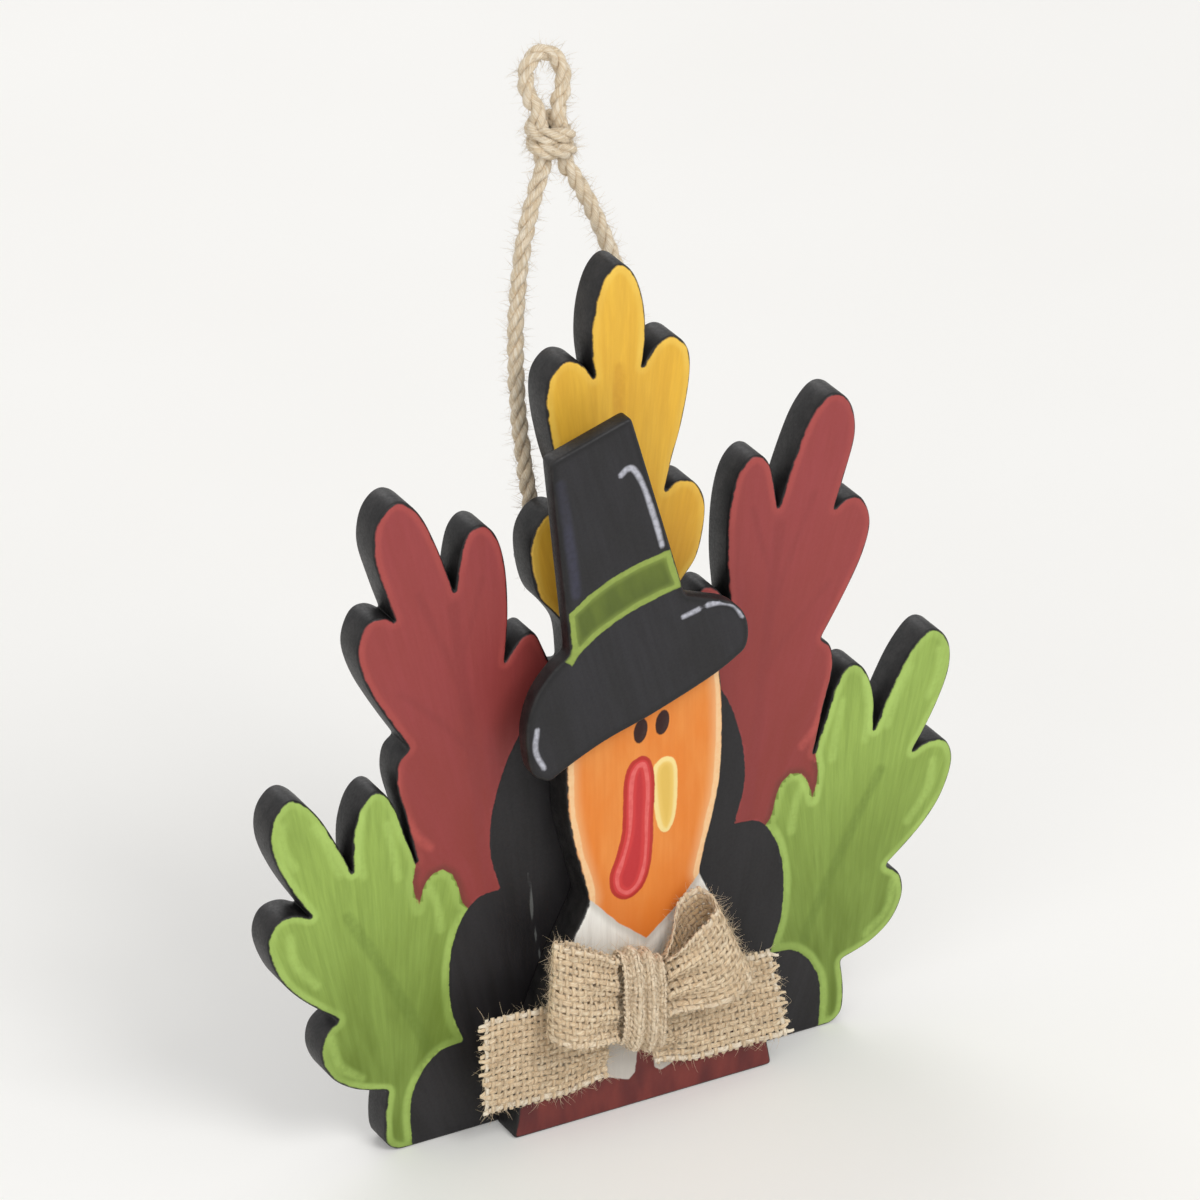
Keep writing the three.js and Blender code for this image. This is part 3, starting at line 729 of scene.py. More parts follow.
bodyLook = {
    "pitch": 0.45,
    "face": paint(237, 137, 52), "faceLight": paint(244, 161, 82), "faceDeep": paint(224, 118, 38),
    # The brim's dark line colour is painted shadow under the hat
    "faceRim": paint(250, 208, 156), "brimShadow": paint(104, 52, 26),
    "wattle": paint(214, 62, 62), "wattleRim": paint(188, 48, 40), "wattleShine": paint(238, 116, 112),
    "wattleDeep": paint(184, 40, 48),
    "beak": paint(241, 203, 106), "beakRim": paint(252, 227, 152), "beakDeep": paint(226, 186, 84),
    "eye": paint(48, 16, 12),
    "collar": paint(250, 248, 241), "collarShade": paint(186, 179, 170),
    "vest": paint(128, 56, 50), "vestDeep": paint(92, 38, 38),
    "chinLine": ((-16, 46), (-8.3, 40.9), (-3.6, 35.6), (1.75, 31.2), (7.1, 35.6), (11.8, 40.9), (19, 46)),
    "flapLine": ((-30, 12), (-14, 9.5), (-5, 6.6), (-1.6, 5.2), (-0.4, 6.2), (0.1, 11), (0.7, 18), (1.45, 29),
                 (2.2, 18), (2.8, 11), (3.3, 6.2), (4.5, 5.2), (8, 6.6), (17, 9.5), (33, 12)),
    "lowCorners": ((40, -20), (-40, -20)),
    "wattleLoop": ((0.6, 65.4), (-1.2, 64.6), (-2.4, 62.2), (-2.7, 57.8), (-2.9, 52.2), (-4, 47.9),
                   (-5.2, 44.4), (-4.6, 41.2), (-2, 39.5), (0.8, 40.9), (2.3, 44.3), (2.8, 48.8), (2.9, 53.5),
                   (3.1, 58), (2.9, 62), (2.1, 64.6)),
    "beakLoop": ((3, 63), (4.4, 64), (6.2, 63.7), (7.2, 61.8), (7.3, 57), (6.9, 52.6), (5.7, 50.2),
                 (4.2, 50.6), (3.3, 53.4), (2.8, 57.5), (2.6, 61)),
    "eyes": ((0.5, 70), (4.5, 70.5)), "eyeWidth": 2.5, "eyeHeight": 4.5, "eyeTilt": 8.0,
    # How far the thick paint stands up, and over what depth it rises
    "rises": {"wattle": (0.22, 1.0), "beak": (0.22, 0.8), "eye": (0.3, 1.0)}, "riseStart": -0.1,
    # Coats of paint: where each one fades, in millimetres, and how strong it is
    "patchShare": 0.55, "streakShare": 0.3, "chinFade": (-9.0, 0.0), "chinShare": 0.6,
    "glowFade": (3.4, 0.5), "glowShare": 0.5, "rimShare": 0.9,
    # A paler painted line under the brim, and painted shadow in a dark line just beneath its edge
    "brimGlowFade": (2.2, 1.1), "brimGlowShare": 0.75, "brimShadowFade": (0.9, 0.3), "brimShadowShare": 0.9,
    "beakFade": (0.5, 1.1), "beakDeepFade": (1.0, 1.8), "beakDeepShare": 0.6,
    "wattleFade": (0.45, 0.8), "wattleDeepFade": (1.9, 2.6), "wattleDeepShare": 0.6, "shineShare": 0.8,
    # The collar greys as painted shade along the chin line and low down beside the bow
    "collarFade": (0.2, 0.9), "collarStreak": 0.22, "chinShadeFade": (1.6, 0.2), "chinShadeShare": 0.6,
    "bowShadeFade": (20.0, 13.0), "bowShadeShare": 0.75, "brushRelief": 0.5,
    "brush": {"fineness": 1.1, "seed": 7.0},
    "rimLine": {"centre": 0.85, "width": 0.75, "softness": 0.3, "dryness": 0.3, "seed": 3.0},
    "shineLine": {"centre": 1.35, "width": 0.5, "softness": 0.25, "dryness": 0.35, "seed": 9.0},
    "beakCover": {"wobble": 0.12}, "wattleCover": {"wobble": 0.14},
    "eyeCover": {"wobble": 0.08, "softness": 0.1}, "chinCover": {"wobble": 0.18},
    "vestCover": {"wobble": 0.2},
}


# Depth inside the nearest of the tilted oval eyes
def eyeDepth(flat, look):
    tilt = math.radians(look["eyeTilt"])
    eyes = []
    for x, z in look["eyes"]:
        dx, dz = flat[:, 0] - x, flat[:, 1] - z
        u = (dx * math.cos(tilt) - dz * math.sin(tilt)) / (look["eyeWidth"] / 2)
        v = (dx * math.sin(tilt) + dz * math.cos(tilt)) / (look["eyeHeight"] / 2)
        eyes.append((1 - np.hypot(u, v)) * look["eyeWidth"] / 2)
    return np.max(eyes, axis=0)


def bodyPaint(piece, look):
    points = meshPoints(piece)
    flat = points[:, [0, 2]]
    edge = rimDepth(points, bodyLoop, "body_board")
    raised = {"wattle": depthIn(flat, closedCurve(look["wattleLoop"], loopStep)),
              "beak": depthIn(flat, closedCurve(look["beakLoop"], loopStep)), "eye": eyeDepth(flat, look)}
    rise = np.zeros(len(points))
    for name, (height, reach) in look["rises"].items():
        rise = np.maximum(rise, height * smoothShare(raised[name], look["riseStart"], reach))
    raiseFront(piece, np.where(edge > 0, rise, 0))
    setAttributes(piece, edge=edge, **raised,
                  below=depthBeyond(flat, look["chinLine"], look["lowCorners"]),
                  vest=depthBeyond(flat, look["flapLine"], look["lowCorners"]),
                  brim=-depthIn(flat, hatLoop), across=flat[:, 0], along=flat[:, 1])


def faceMaterial(look):
    material, tree, shader = newMaterial("face_paint")
    names = ("edge", "below", "vest", "wattle", "beak", "eye", "brim", "across", "along")
    edge, below, vest, wattle, beak, eye, brim, across, along = (readAttribute(tree, n) for n in names)
    brush = useGroup(tree, brushwork, across=across, along=along, **look["brush"])
    colour = layOver(tree, look["face"], brush["patch"], look["patchShare"], look["faceLight"])
    colour = layOver(tree, colour, brush["streak"], look["streakShare"], look["faceDeep"])
    colour = fadeOver(tree, colour, below, look["chinFade"], look["chinShare"], look["faceDeep"])
    colour = fadeOver(tree, colour, edge, look["glowFade"], look["glowShare"], look["faceRim"])
    colour = layOver(tree, colour, lineMask(tree, edge, look["rimLine"]), look["rimShare"], look["faceRim"])
    colour = fadeOver(tree, colour, brim, look["brimGlowFade"], look["brimGlowShare"], look["faceRim"])
    # Painted shadow of the brim along its lower edge
    colour = fadeOver(tree, colour, brim, look["brimShadowFade"], look["brimShadowShare"], look["brimShadow"])

    yellow = fadeOver(tree, look["beakRim"], beak, look["beakFade"], 1.0, look["beak"])
    yellow = fadeOver(tree, yellow, beak, look["beakDeepFade"], look["beakDeepShare"], look["beakDeep"])
    colour = mixColour(tree, coverMask(tree, beak, **look["beakCover"]), colour, yellow)

    red = fadeOver(tree, look["wattleRim"], wattle, look["wattleFade"], 1.0, look["wattle"])
    red = fadeOver(tree, red, wattle, look["wattleDeepFade"], look["wattleDeepShare"], look["wattleDeep"])
    red = layOver(tree, red, lineMask(tree, wattle, look["shineLine"]), look["shineShare"],
                  look["wattleShine"])
    colour = mixColour(tree, coverMask(tree, wattle, **look["wattleCover"]), colour, red)
    colour = mixColour(tree, coverMask(tree, eye, **look["eyeCover"]), colour, look["eye"])

    # Collar flaps below the chin, with grey brush streaks and painted shade along the chin and low down by
    # the bow, and the vest below them
    shade = look["collarShade"]
    white = fadeOver(tree, look["collar"], brush["streak"], look["collarFade"], look["collarStreak"], shade)
    white = fadeOver(tree, white, below, look["chinShadeFade"], look["chinShadeShare"], shade)
    white = fadeOver(tree, white, along, look["bowShadeFade"], look["bowShadeShare"], shade)
    russet = mixColour(tree, brush["patch"], look["vest"], look["vestDeep"])
    clothes = mixColour(tree, coverMask(tree, vest, **look["vestCover"]), white, russet)
    colour = mixColour(tree, coverMask(tree, below, **look["chinCover"]), colour, clothes)
    relief = calc(tree, "MULTIPLY", brush["height"], look["brushRelief"])
    finishBoard(tree, shader, colour, relief, blackPaint)
    return material


print("body board")
bodyBoard = sawnBoard("painted_body", bodyLoop, "body_board", bodyLook["pitch"], faceMaterial(bodyLook))
bodyPaint(bodyBoard, bodyLook)
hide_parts("body_board")
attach(bodyBoard, "figure")

# Hat board: band and dry-brushed shines

hatLook = {
    "pitch": 0.5,
    "felt": paint(33, 32, 34), "feltLight": paint(46, 45, 50), "feltDeep": paint(20, 19, 21),
    "band": paint(108, 124, 46), "bandLight": paint(152, 172, 82), "bandDeep": paint(82, 97, 34),
    "shine": paint(204, 205, 216), "blue": paint(62, 62, 82),
    "bandLoop": ((-17, 94.6), (-13.6, 96.8), (-10.6, 98.9), (-6.2, 101), (-1.4, 102.4), (3.2, 103.2),
                 (8, 103.6), (10, 96.6), (6.2, 96.2), (2.6, 95.5), (-1.4, 94.5), (-5.4, 93.1), (-9.4, 91.1),
                 (-12.6, 88.6), (-13.6, 86.9), (-17, 90)),
    "bandEdge": 0.3,
    "shines": (
        ((-4.9, 118.6), (-3.7, 119.5), (-2.5, 118.9), (-0.7, 115.2), (1.3, 108.8), (2.5, 104.3)),
        ((6.4, 90.6), (9.3, 91.3)),
        ((10.8, 91.6), (13.4, 91.5), (15.9, 90.3), (17.3, 88)),
        ((-20, 77.2), (-20.3, 73.4), (-18.8, 69.9)),
    ),
    "blueRoute": ((-15.7, 119.5), (-14.5, 112.3), (-13.4, 104.2), (-12.9, 99.5)),
    "shineStep": 0.4, "slant": 0.28,
    # Coats of paint: where each one fades, in millimetres, and how strong it is
    "patchShare": 0.6, "streakShare": 0.35, "edgeFade": (1.6, 0.5), "edgeShare": 0.8, "blueShare": 0.6,
    "shineShare": 0.85, "bandFade": (2.0, 0.6), "bandFadeShare": 0.45, "bandLineShare": 0.85,
    "brushRelief": 0.5, "bandRelief": 0.4,
    "brush": {"fineness": 0.8, "seed": 12.0}, "bandCover": {"wobble": 0.2},
    "blueLine": {"width": 0.5, "softness": 1.1, "dryness": 0.3, "gaps": 0.5, "seed": 6.0},
    "shineLine": {"width": 0.3, "softness": 0.55, "dryness": 0.35, "seed": 8.0},
    "bandLine": {"centre": 0.5, "width": 0.6, "softness": 0.35, "dryness": 0.3, "seed": 14.0},
}


def hatPaint(piece, look):
    points = meshPoints(piece)
    flat = points[:, [0, 2]]
    edge = rimDepth(points, hatLoop, "hat_board")
    band = depthIn(flat, np.array(look["bandLoop"], float))
    setAttributes(piece, edge=edge, band=band, bandRim=np.minimum(band, edge - look["bandEdge"]),
                  shine=reachToRoutes(flat, look["shines"], look["shineStep"]),
                  blue=reachToRoutes(flat, [look["blueRoute"]]),
                  across=flat[:, 0] + look["slant"] * flat[:, 1], along=flat[:, 1])


def hatMaterial(look):
    material, tree, shader = newMaterial("hat_paint")
    names = ("edge", "band", "bandRim", "shine", "blue", "across", "along")
    edge, band, bandRim, shine, blue, across, along = (readAttribute(tree, n) for n in names)
    brush = useGroup(tree, brushwork, across=across, along=along, **look["brush"])
    colour = layOver(tree, look["felt"], brush["patch"], look["patchShare"], look["feltLight"])
    colour = layOver(tree, colour, brush["streak"], look["streakShare"], look["feltDeep"])
    colour = fadeOver(tree, colour, edge, look["edgeFade"], look["edgeShare"], look["feltDeep"])
    for route, name in ((blue, "blue"), (shine, "shine")):
        mask = lineMask(tree, route, look[name + "Line"])
        colour = layOver(tree, colour, mask, look[name + "Share"], look[name])

    bandMask = coverMask(tree, band, **look["bandCover"])
    green = mixColour(tree, brush["patch"], look["band"], look["bandDeep"])
    green = fadeOver(tree, green, bandRim, look["bandFade"], look["bandFadeShare"], look["bandLight"])
    green = layOver(tree, green, lineMask(tree, bandRim, look["bandLine"]), look["bandLineShare"],
                    look["bandLight"])
    colour = mixColour(tree, bandMask, colour, green)
    relief = calc(tree, "MULTIPLY_ADD", brush["height"], look["brushRelief"],
                  calc(tree, "MULTIPLY", bandMask, look["bandRelief"]))
    finishBoard(tree, shader, colour, relief, blackPaint)
    return material


print("hat board")
hatBoard = sawnBoard("painted_hat", hatLoop, "hat_board", hatLook["pitch"], hatMaterial(hatLook))
hatPaint(hatBoard, hatLook)
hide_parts("hat_board")
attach(hatBoard, "figure")

# Threads

tubesAtOnce = 100  # tubes built in one small mesh, as operators slow down on a large one
tubeWeld = 0.0005  # closes the seam of a tube and leaves its other corners apart
fibreSides = 3
wanderWaves, waveSpread = 3, (0.6, 1.7)


# Round tubes along lines. Each line gives its centres, the half widths across and outward at each
# centre, a tone, and a mark that is above zero on pale threads and on threads given painted highlight,
# and below zero on threads given painted shade deep inside a loop.
def spunTubes(bm, lines, sides):
    turns = np.linspace(0, math.tau, sides + 1)
    for first in range(0, len(lines), tubesAtOnce):
        part = bmesh.new()
        toneLayer = part.verts.layers.float.new("tone")
        markLayer = part.verts.layers.float.new("mark")
        layLayer = part.verts.layers.float_vector.new("lay")
        for centres, across, outward, tone, mark in lines[first:first + tubesAtOnce]:
            marks = np.broadcast_to(mark, len(centres))
            grid = bmesh.ops.create_grid(part, x_segments=sides, y_segments=len(centres) - 1, size=1)["verts"]
            steps = np.linalg.norm(np.diff(centres, axis=0), axis=1)
            along = np.concatenate([[0], np.cumsum(steps)])
            places = (centres[:, None] + across[:, None] * np.cos(turns)[None, :, None]
                      + outward[:, None] * np.sin(turns)[None, :, None]) * mm
            for index, vert in enumerate(grid):
                ring, column = divmod(index, sides + 1)
                vert.co = places[ring, column if column < sides else 0]
                vert[toneLayer] = tone
                vert[markLayer] = marks[ring]
                vert[layLayer] = (math.cos(turns[column]), math.sin(turns[column]), along[ring])
        mesh = bpy.data.meshes.new("part")
        part.to_mesh(mesh)
        part.free()
        bm.from_mesh(mesh)
        bpy.data.meshes.remove(mesh)


def closeTubes(bm):
    bmesh.ops.remove_doubles(bm, verts=bm.verts, dist=tubeWeld * mm)
    bmesh.ops.holes_fill(bm, edges=[e for e in bm.edges if e.is_boundary], sides=0)
    bmesh.ops.recalc_face_normals(bm, faces=bm.faces)


# A smooth wander about zero, the same each time for a seed
def wander(length, seed, wave):
    draw = random.Random(seed)
    total = np.zeros(len(length))
    for _ in range(wanderWaves):
        total += np.sin(length * math.tau / (wave * draw.uniform(*waveSpread)) + draw.uniform(0, math.tau))
    return total / wanderWaves


def rowUnit(vectors):
    return vectors / np.maximum(np.linalg.norm(vectors, axis=-1, keepdims=True), tiny)


# Loose fibres on a surface. rootsOf draws their roots and the ways outward from them.
def looseFibres(look, seed, count, rootsOf):
    draw = np.random.default_rng(seed)
    roots, outward = rootsOf(draw, count)
    share = np.linspace(0, 1, look["fuzzPoints"])[:, None]
    lean = rowUnit(draw.normal(size=(count, 3)))
    lean -= outward * (outward * lean).sum(1)[:, None] * look["fuzzFlat"]
    ways = rowUnit(outward * draw.uniform(*look["fuzzStand"], (count, 1)) + lean)
    curls = rowUnit(draw.normal(size=(count, 3)))
    lengths = draw.uniform(*look["fuzzLength"], count)
    widths = look["fuzzWidth"] * draw.uniform(*look["fuzzSpread"], count)
    lines = []
    for root, way, curl, length, width in zip(roots, ways, curls, lengths, widths):
        offset = length * (share * way + look["fuzzCurl"] * share ** 2 * curl)
        centres = root + offset * min(1, look["fuzzReach"] / np.linalg.norm(offset[-1]))
        side = rowUnit(np.cross(way, curl))
        half = width * (1 - look["fuzzTaper"] * share)
        tone = draw.uniform(*look["fuzzTone"])
        lines.append((centres, side * half, rowUnit(np.cross(way, side)) * half, tone, 0.0))
    return lines


# Burlap

# What the loose fibres and the thread's finish share on burlap and jute
fibreLook = {
    "fuzzReach": 2.6, "fuzzPoints": 5, "fuzzCurl": 0.45, "fuzzTaper": 0.7, "fuzzSpread": (0.6, 1.3),
    "fuzzTone": (0.3, 1),
    "toneShare": 0.6, "slubShare": 0.35, "strandShare": 0.5, "strandFade": (0.3, 1.0), "lightShare": 0.5,
    "fleckNoise": (1.1, 3.0, 0.6), "fleckFade": (0.64, 0.72), "fleckShare": 0.5,
    # The pale share lightens marked threads, partly as painted highlight; the deep share darkens loop threads
    # as painted shade
    "paleShare": 0.6, "insideShadeShare": 0.75, "toneSeed": 40.0,
    "roughness": 0.92, "specular": 0.2, "sheen": 0.25, "sheenRoughness": 0.5, "bump": 0.55,
}
burlapLook = {
    **fibreLook,
    "thread": paint(250, 229, 196), "threadLight": paint(255, 246, 222), "threadDark": paint(226, 198, 160),
    # The pale colour is the selvage's own, and also painted highlight on lit edges and on the knot
    "selvageAndHighlight": paint(255, 249, 234), "fleck": paint(184, 152, 110),
    "turns": 1.1, "fineness": 2.2, "bumpDepth": 0.16,
    "pitch": 1.17, "warpCover": 0.88, "weftWidth": 0.71, "threadDepth": 0.25, "weave": 0.15, "steps": 4,
    # Marks: edge threads pale, their own colour with painted highlight; the whole knot pale as painted
    # highlight
    "sides": 6, "edgeMark": 0.4, "tailMark": 0.8, "knotHighlight": 0.4, "knotCover": 1.15,
    "fuzz": 2500, "fuzzLength": (0.8, 3.2), "fuzzWidth": 0.038, "fuzzStand": (0.0, 0.5), "fuzzFlat": 0.8,
    "insideEdge": 2.6, "insideRim": 0.4, "backLayer": (0.5, 0.4), "overhang": 0.012, "fray": 0.7,
    "fraySpread": (0.2, 1.8), "frayStart": 1.0, "frayReach": 2.0, "frayThin": 0.45, "frayAcross": 0.7,
    "frayOut": 0.4,
    # How far the threads stray and swell, and over what length
    "warpStray": (0.012, 9), "warpSwell": (0.16, 6), "weftStray": (0.1, 8), "weftSwell": (0.2, 6),
    "weftSpan": 18.0,
}


def threadMaterial(name, look):
    material, tree, shader = newMaterial(name)
    tone, mark = readAttribute(tree, "tone"), readAttribute(tree, "mark")
    fibre = useGroup(tree, fibreTwist, lay=readAttribute(tree, "lay", "Vector"), turns=look["turns"],
                     fineness=look["fineness"], seed=calc(tree, "MULTIPLY", tone, look["toneSeed"]))
    colour = fadeOver(tree, look["thread"], tone, (0.0, 1.0), look["toneShare"], look["threadLight"])
    colour = layOver(tree, colour, fibre["slub"], look["slubShare"], look["threadDark"])
    colour = mixColour(tree, calc(tree, "MULTIPLY", fibre["strand"], look["strandShare"]), look["threadDark"],
                       colour)
    colour = fadeOver(tree, colour, fibre["strand"], look["strandFade"], look["lightShare"],
                      look["threadLight"])
    fleck = noise(tree, ownPlace(tree), *look["fleckNoise"])
    colour = fadeOver(tree, colour, fleck, look["fleckFade"], look["fleckShare"], look["fleck"])
    # Pale marks lighten towards the selvage colour, as the edges' own colour and as painted highlight
    colour = fadeOver(tree, colour, mark, (0.0, 1.0), look["paleShare"], look["selvageAndHighlight"])
    # Marks below zero darken towards the fleck colour as painted shade deep inside a loop
    colour = fadeOver(tree, colour, mark, (0.0, -1.0), look["insideShadeShare"], look["fleck"])
    feed(tree, shader.inputs["Base Color"], colour)
    for socketName, key in (("Roughness", "roughness"), ("Specular IOR Level", "specular"),
                            ("Sheen Weight", "sheen"), ("Sheen Roughness", "sheenRoughness")):
        shader.inputs[socketName].default_value = look[key]
    addBump(tree, shader, fibre["height"], look["bump"], look["bumpDepth"])
    return material


bowLook = {
    "centreX": -1.8, "height": 21.6,
    "ribbonWidth": 17.6, "thickness": 0.8, "gap": 0.3,
    "knotWidth": 8.0, "knotHeight": 19.0, "knotDepth": 6.8, "knotSlant": 20.0, "knotSeat": 1.0,
    "knotDome": 1.3, "knotFold": 0.62, "knotPleats": 3, "knotWaist": 0.04, "knotInset": 0.5,
    "knotDepthPower": 0.8, "knotHeightPower": 0.9,
    "loopDepth": 4.6,
    "leftLoop": {"side": -1, "reach": 13.0, "rise": 22.0, "lean": 3.0, "pinch": 15.5, "flare": -0.55,
                 "sag": 0.0, "fold": 0.45},
    "rightLoop": {"side": 1, "reach": 14.2, "rise": 34.0, "lean": 24.0, "pinch": 11.0, "flare": 0.3,
                  "sag": 3.1, "fold": 0.95},
    "leftTail": {"side": -1, "reach": 23.2, "rise": 5.0, "cut": 0.0},
    "rightTail": {"side": 1, "reach": 23.6, "rise": 0.5, "cut": 12.0},
    "tailPinch": 13.0, "loopSeat": 2.7, "tailSeat": -7.2, "fold": 0.45, "pleats": 3,
    "loopOpening": (0, 0.75), "tailOpening": (0, 0.4), "sagging": (0.35, 0.6),
    "trackPoints": 200, "slopeStep": 0.05, "slopeShare": 0.01,
}
bowLook["layerPitch"] = bowLook["thickness"] + bowLook["gap"]
bowLook["start"] = bowLook["knotWidth"] / 2 + bowLook["gap"]
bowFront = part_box("body_board")[0].y / mm
bowOrigin = np.array([bowLook["centreX"], bowFront, bowLook["height"]])
forward = np.array([0.0, -1.0, 0.0])


def halfWidthAt(pinch, opened):
    return (pinch + (bowLook["ribbonWidth"] - pinch) * opened) / 2


def columns(x, y, z):
    return np.column_stack(np.broadcast_arrays(x, y, z)).astype(float)


# Each section gives, at shares of the ribbon's length, its middle, its half width as a vector, the
# height of its folds, and the way that the folds rise.


def loopSection(loop, share):
    side = loop["side"]
    swing = np.sin(share * math.pi)
    reach = loop["reach"] * swing
    middle = bowLook["knotDepth"] - bowLook["layerPitch"] / 2 - bowLook["loopDepth"] / 2 + bowLook["gap"]
    spread = np.sin(share * math.tau) * (bowLook["loopDepth"] - bowLook["layerPitch"]) / 2
    depth = middle - spread - np.cos(share * math.pi) * bowLook["layerPitch"] / 2
    opened = smoothShare(swing, *bowLook["loopOpening"])
    width = halfWidthAt(loop["pinch"], opened)
    rise, lean = math.radians(loop["rise"]), math.radians(loop["lean"]) * opened
    centre = columns(side * (bowLook["start"] + reach * math.cos(rise)), -depth,
                     bowLook["loopSeat"] + reach * math.sin(rise))
    half = columns(-side * np.sin(lean) * width, spread * loop["flare"], np.cos(lean) * width)
    sag = loop["sag"] * opened * smoothShare(share, *bowLook["sagging"])
    centre -= rowUnit(half * (1, 0, 1)) * sag[:, None]
    return centre, half, loop["fold"] * (1 - opened), forward


def tailSection(tail, share):
    side = tail["side"]
    rise, cutLean = math.radians(tail["rise"]), math.radians(tail["cut"]) * share
    along = tail["reach"] * share
    opened = smoothShare(share, *bowLook["tailOpening"])
    gather = bowLook["fold"] * (1 - opened)
    lift = bowLook["thickness"] * share * share
    centre = columns(side * (bowLook["start"] + along * math.cos(rise)),
                     -(bowLook["gap"] + bowLook["thickness"] / 2 + gather + lift),
                     bowLook["tailSeat"] + along * math.sin(rise))
    width = halfWidthAt(bowLook["tailPinch"], opened)
    half = columns(-side * np.sin(cutLean) * width, 0, np.cos(cutLean) * width)
    return centre, half, gather, forward


# The wrap round the middle, from the back over the top and down the front
def knotSection(share):
    turn = share * math.tau
    height = bowLook["knotHeight"] / 2 - bowLook["knotInset"]
    depth = bowLook["knotDepth"] / 2 - bowLook["knotInset"]
    out, up = np.sin(turn), -np.cos(turn)
    wrap = columns(0.0, -depth * np.sign(out) * np.abs(out) ** bowLook["knotDepthPower"],
                   -height * np.sign(up) * np.abs(up) ** bowLook["knotHeightPower"])
    centre = wrap + (0, -bowLook["gap"] - bowLook["knotDepth"] / 2, bowLook["knotSeat"])
    waist = 1 - bowLook["knotWaist"] * np.maximum(out, 0)
    slope = math.tan(math.radians(bowLook["knotSlant"]))
    half = columns(waist, 0, -slope * waist) * bowLook["knotWidth"] / 2
    return centre, half, np.full_like(share, bowLook["knotFold"]), rowUnit(wrap)


# Woven threads over a ribbon's surface
def wovenRibbon(name, section, pleats, seed, dome=0.0, highlightMark=0.0, cover=1.0, frayedEnd=False, isLoop=False):
    look = burlapLook
    draw = random.Random(seed)
    fine = np.linspace(0, 1, bowLook["trackPoints"])
    track = section(fine)[0]
    along = np.concatenate([[0], np.cumsum(np.linalg.norm(np.diff(track, axis=0), axis=1))])
    length = along[-1]
    warps = round(bowLook["ribbonWidth"] / look["pitch"])
    wefts = round(length / look["pitch"])

    def pointAt(places, share):
        across = 2 * share - 1
        s = np.interp(places, along, fine)
        s = np.where(places > length, 1 + (places - length) * (1 - fine[-2]) / (length - along[-2]), s)
        centre, half, gather, up = section(s)
        rise = gather * np.cos(share * math.tau * pleats) - dome * across ** 4
        return centre + half * across[:, None] + up * rise[:, None] + bowOrigin

    # The ribbon's middle surface with its ways along, across and outward, and its width there
    def surface(places, share):
        slope, aside = bowLook["slopeStep"], bowLook["slopeShare"]
        tangent = rowUnit(pointAt(places + slope, share) - pointAt(places - slope, share))
        spread = (pointAt(places, share + aside) - pointAt(places, share - aside)) / (2 * aside)
        side = rowUnit(spread)
        return (pointAt(places, share), tangent, side, rowUnit(np.cross(tangent, side)),
                np.linalg.norm(spread, axis=1))

    # Threads of a loop's back layer are darkened as painted shade for the shadow they lie in, but for those
    # at its edges
    def inside(places, share):
        edge = np.minimum(share, 1 - share) * bowLook["ribbonWidth"]
        deep = smoothShare(edge, look["insideEdge"] * look["insideRim"], look["insideEdge"])
        deep *= smoothShare(places / length, *look["backLayer"])
        return -deep if isLoop else np.full_like(deep, highlightMark)

    def stray(places, seed, amount):
        return amount[0] * wander(places, seed, amount[1])

    def fibreRoots(draw, count):
        places, share = draw.uniform(0, length, count), draw.uniform(0, 1, count)
        point, _, _, normal, _ = surface(places, share)
        outward = normal * draw.choice((-1, 1), (count, 1))
        return point + outward * look["threadDepth"], outward

    bm = bmesh.new()
    lines = []

    def addThread(point, side, normal, width, mark):
        lines.append((point, side * width[:, None] / 2, normal * look["threadDepth"] / 2,
                      draw.random(), mark))

    # Edge threads are paler, the selvage's own colour with painted highlight where the edge catches light
    endMark = look["tailMark"] if frayedEnd else look["edgeMark"]
    for warp in range(warps):
        fray = look["fray"] * draw.uniform(*look["fraySpread"]) if frayedEnd else 0.0
        places = np.linspace(0, length + fray, wefts * look["steps"] + 1)
        share = (warp + 0.5) / warps + stray(places, seed + warp, look["warpStray"])
        point, tangent, side, normal, width = surface(places, share)
        loose = np.clip((places - length + look["frayStart"]) / look["frayReach"], 0, 1)[:, None] * frayedEnd
        point += loose * (side * draw.uniform(-look["frayAcross"], look["frayAcross"])
                          + normal * draw.uniform(-look["frayOut"], look["frayOut"]))
        over = look["weave"] * np.cos(math.pi * (places / length * wefts - 0.5 - warp))
        point += normal * over[:, None]
        mark = endMark if warp in (0, warps - 1) else inside(places, share)
        width = cover * look["warpCover"] * width / warps
        width *= 1 + stray(places, seed + 50 + warp, look["warpSwell"])
        width *= 1 - look["frayThin"] * loose[:, 0]
        addThread(point, side, normal, width, mark)
    for weft in range(wefts):
        share = np.linspace(-look["overhang"], 1 + look["overhang"], warps * look["steps"] + 1)
        across = share * look["weftSpan"]
        places = (weft + 0.5) * length / wefts + stray(across, seed + 100 + weft, look["weftStray"])
        point, tangent, side, normal, width = surface(places, share)
        point -= normal * (look["weave"] * np.cos(math.pi * (share * warps - 0.5 - weft)))[:, None]
        width = look["weftWidth"] * (1 + stray(across, seed + 150 + weft, look["weftSwell"]))
        mark = look["tailMark"] if frayedEnd and weft == wefts - 1 else inside(places, share)
        addThread(point, tangent, normal, width, mark)
    spunTubes(bm, lines, look["sides"])
    closeTubes(bm)
    ribbon = newPiece("woven_" + name, bm, burlapMaterial)
    bm = bmesh.new()
    spunTubes(bm, looseFibres(look, seed + 7, look["fuzz"], fibreRoots), fibreSides)
    closeTubes(bm)
    fuzz = newPiece("fibres_" + name, bm, burlapMaterial)
    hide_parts("bow_" + name)
    for piece in (ribbon, fuzz):
        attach(piece, "figure")


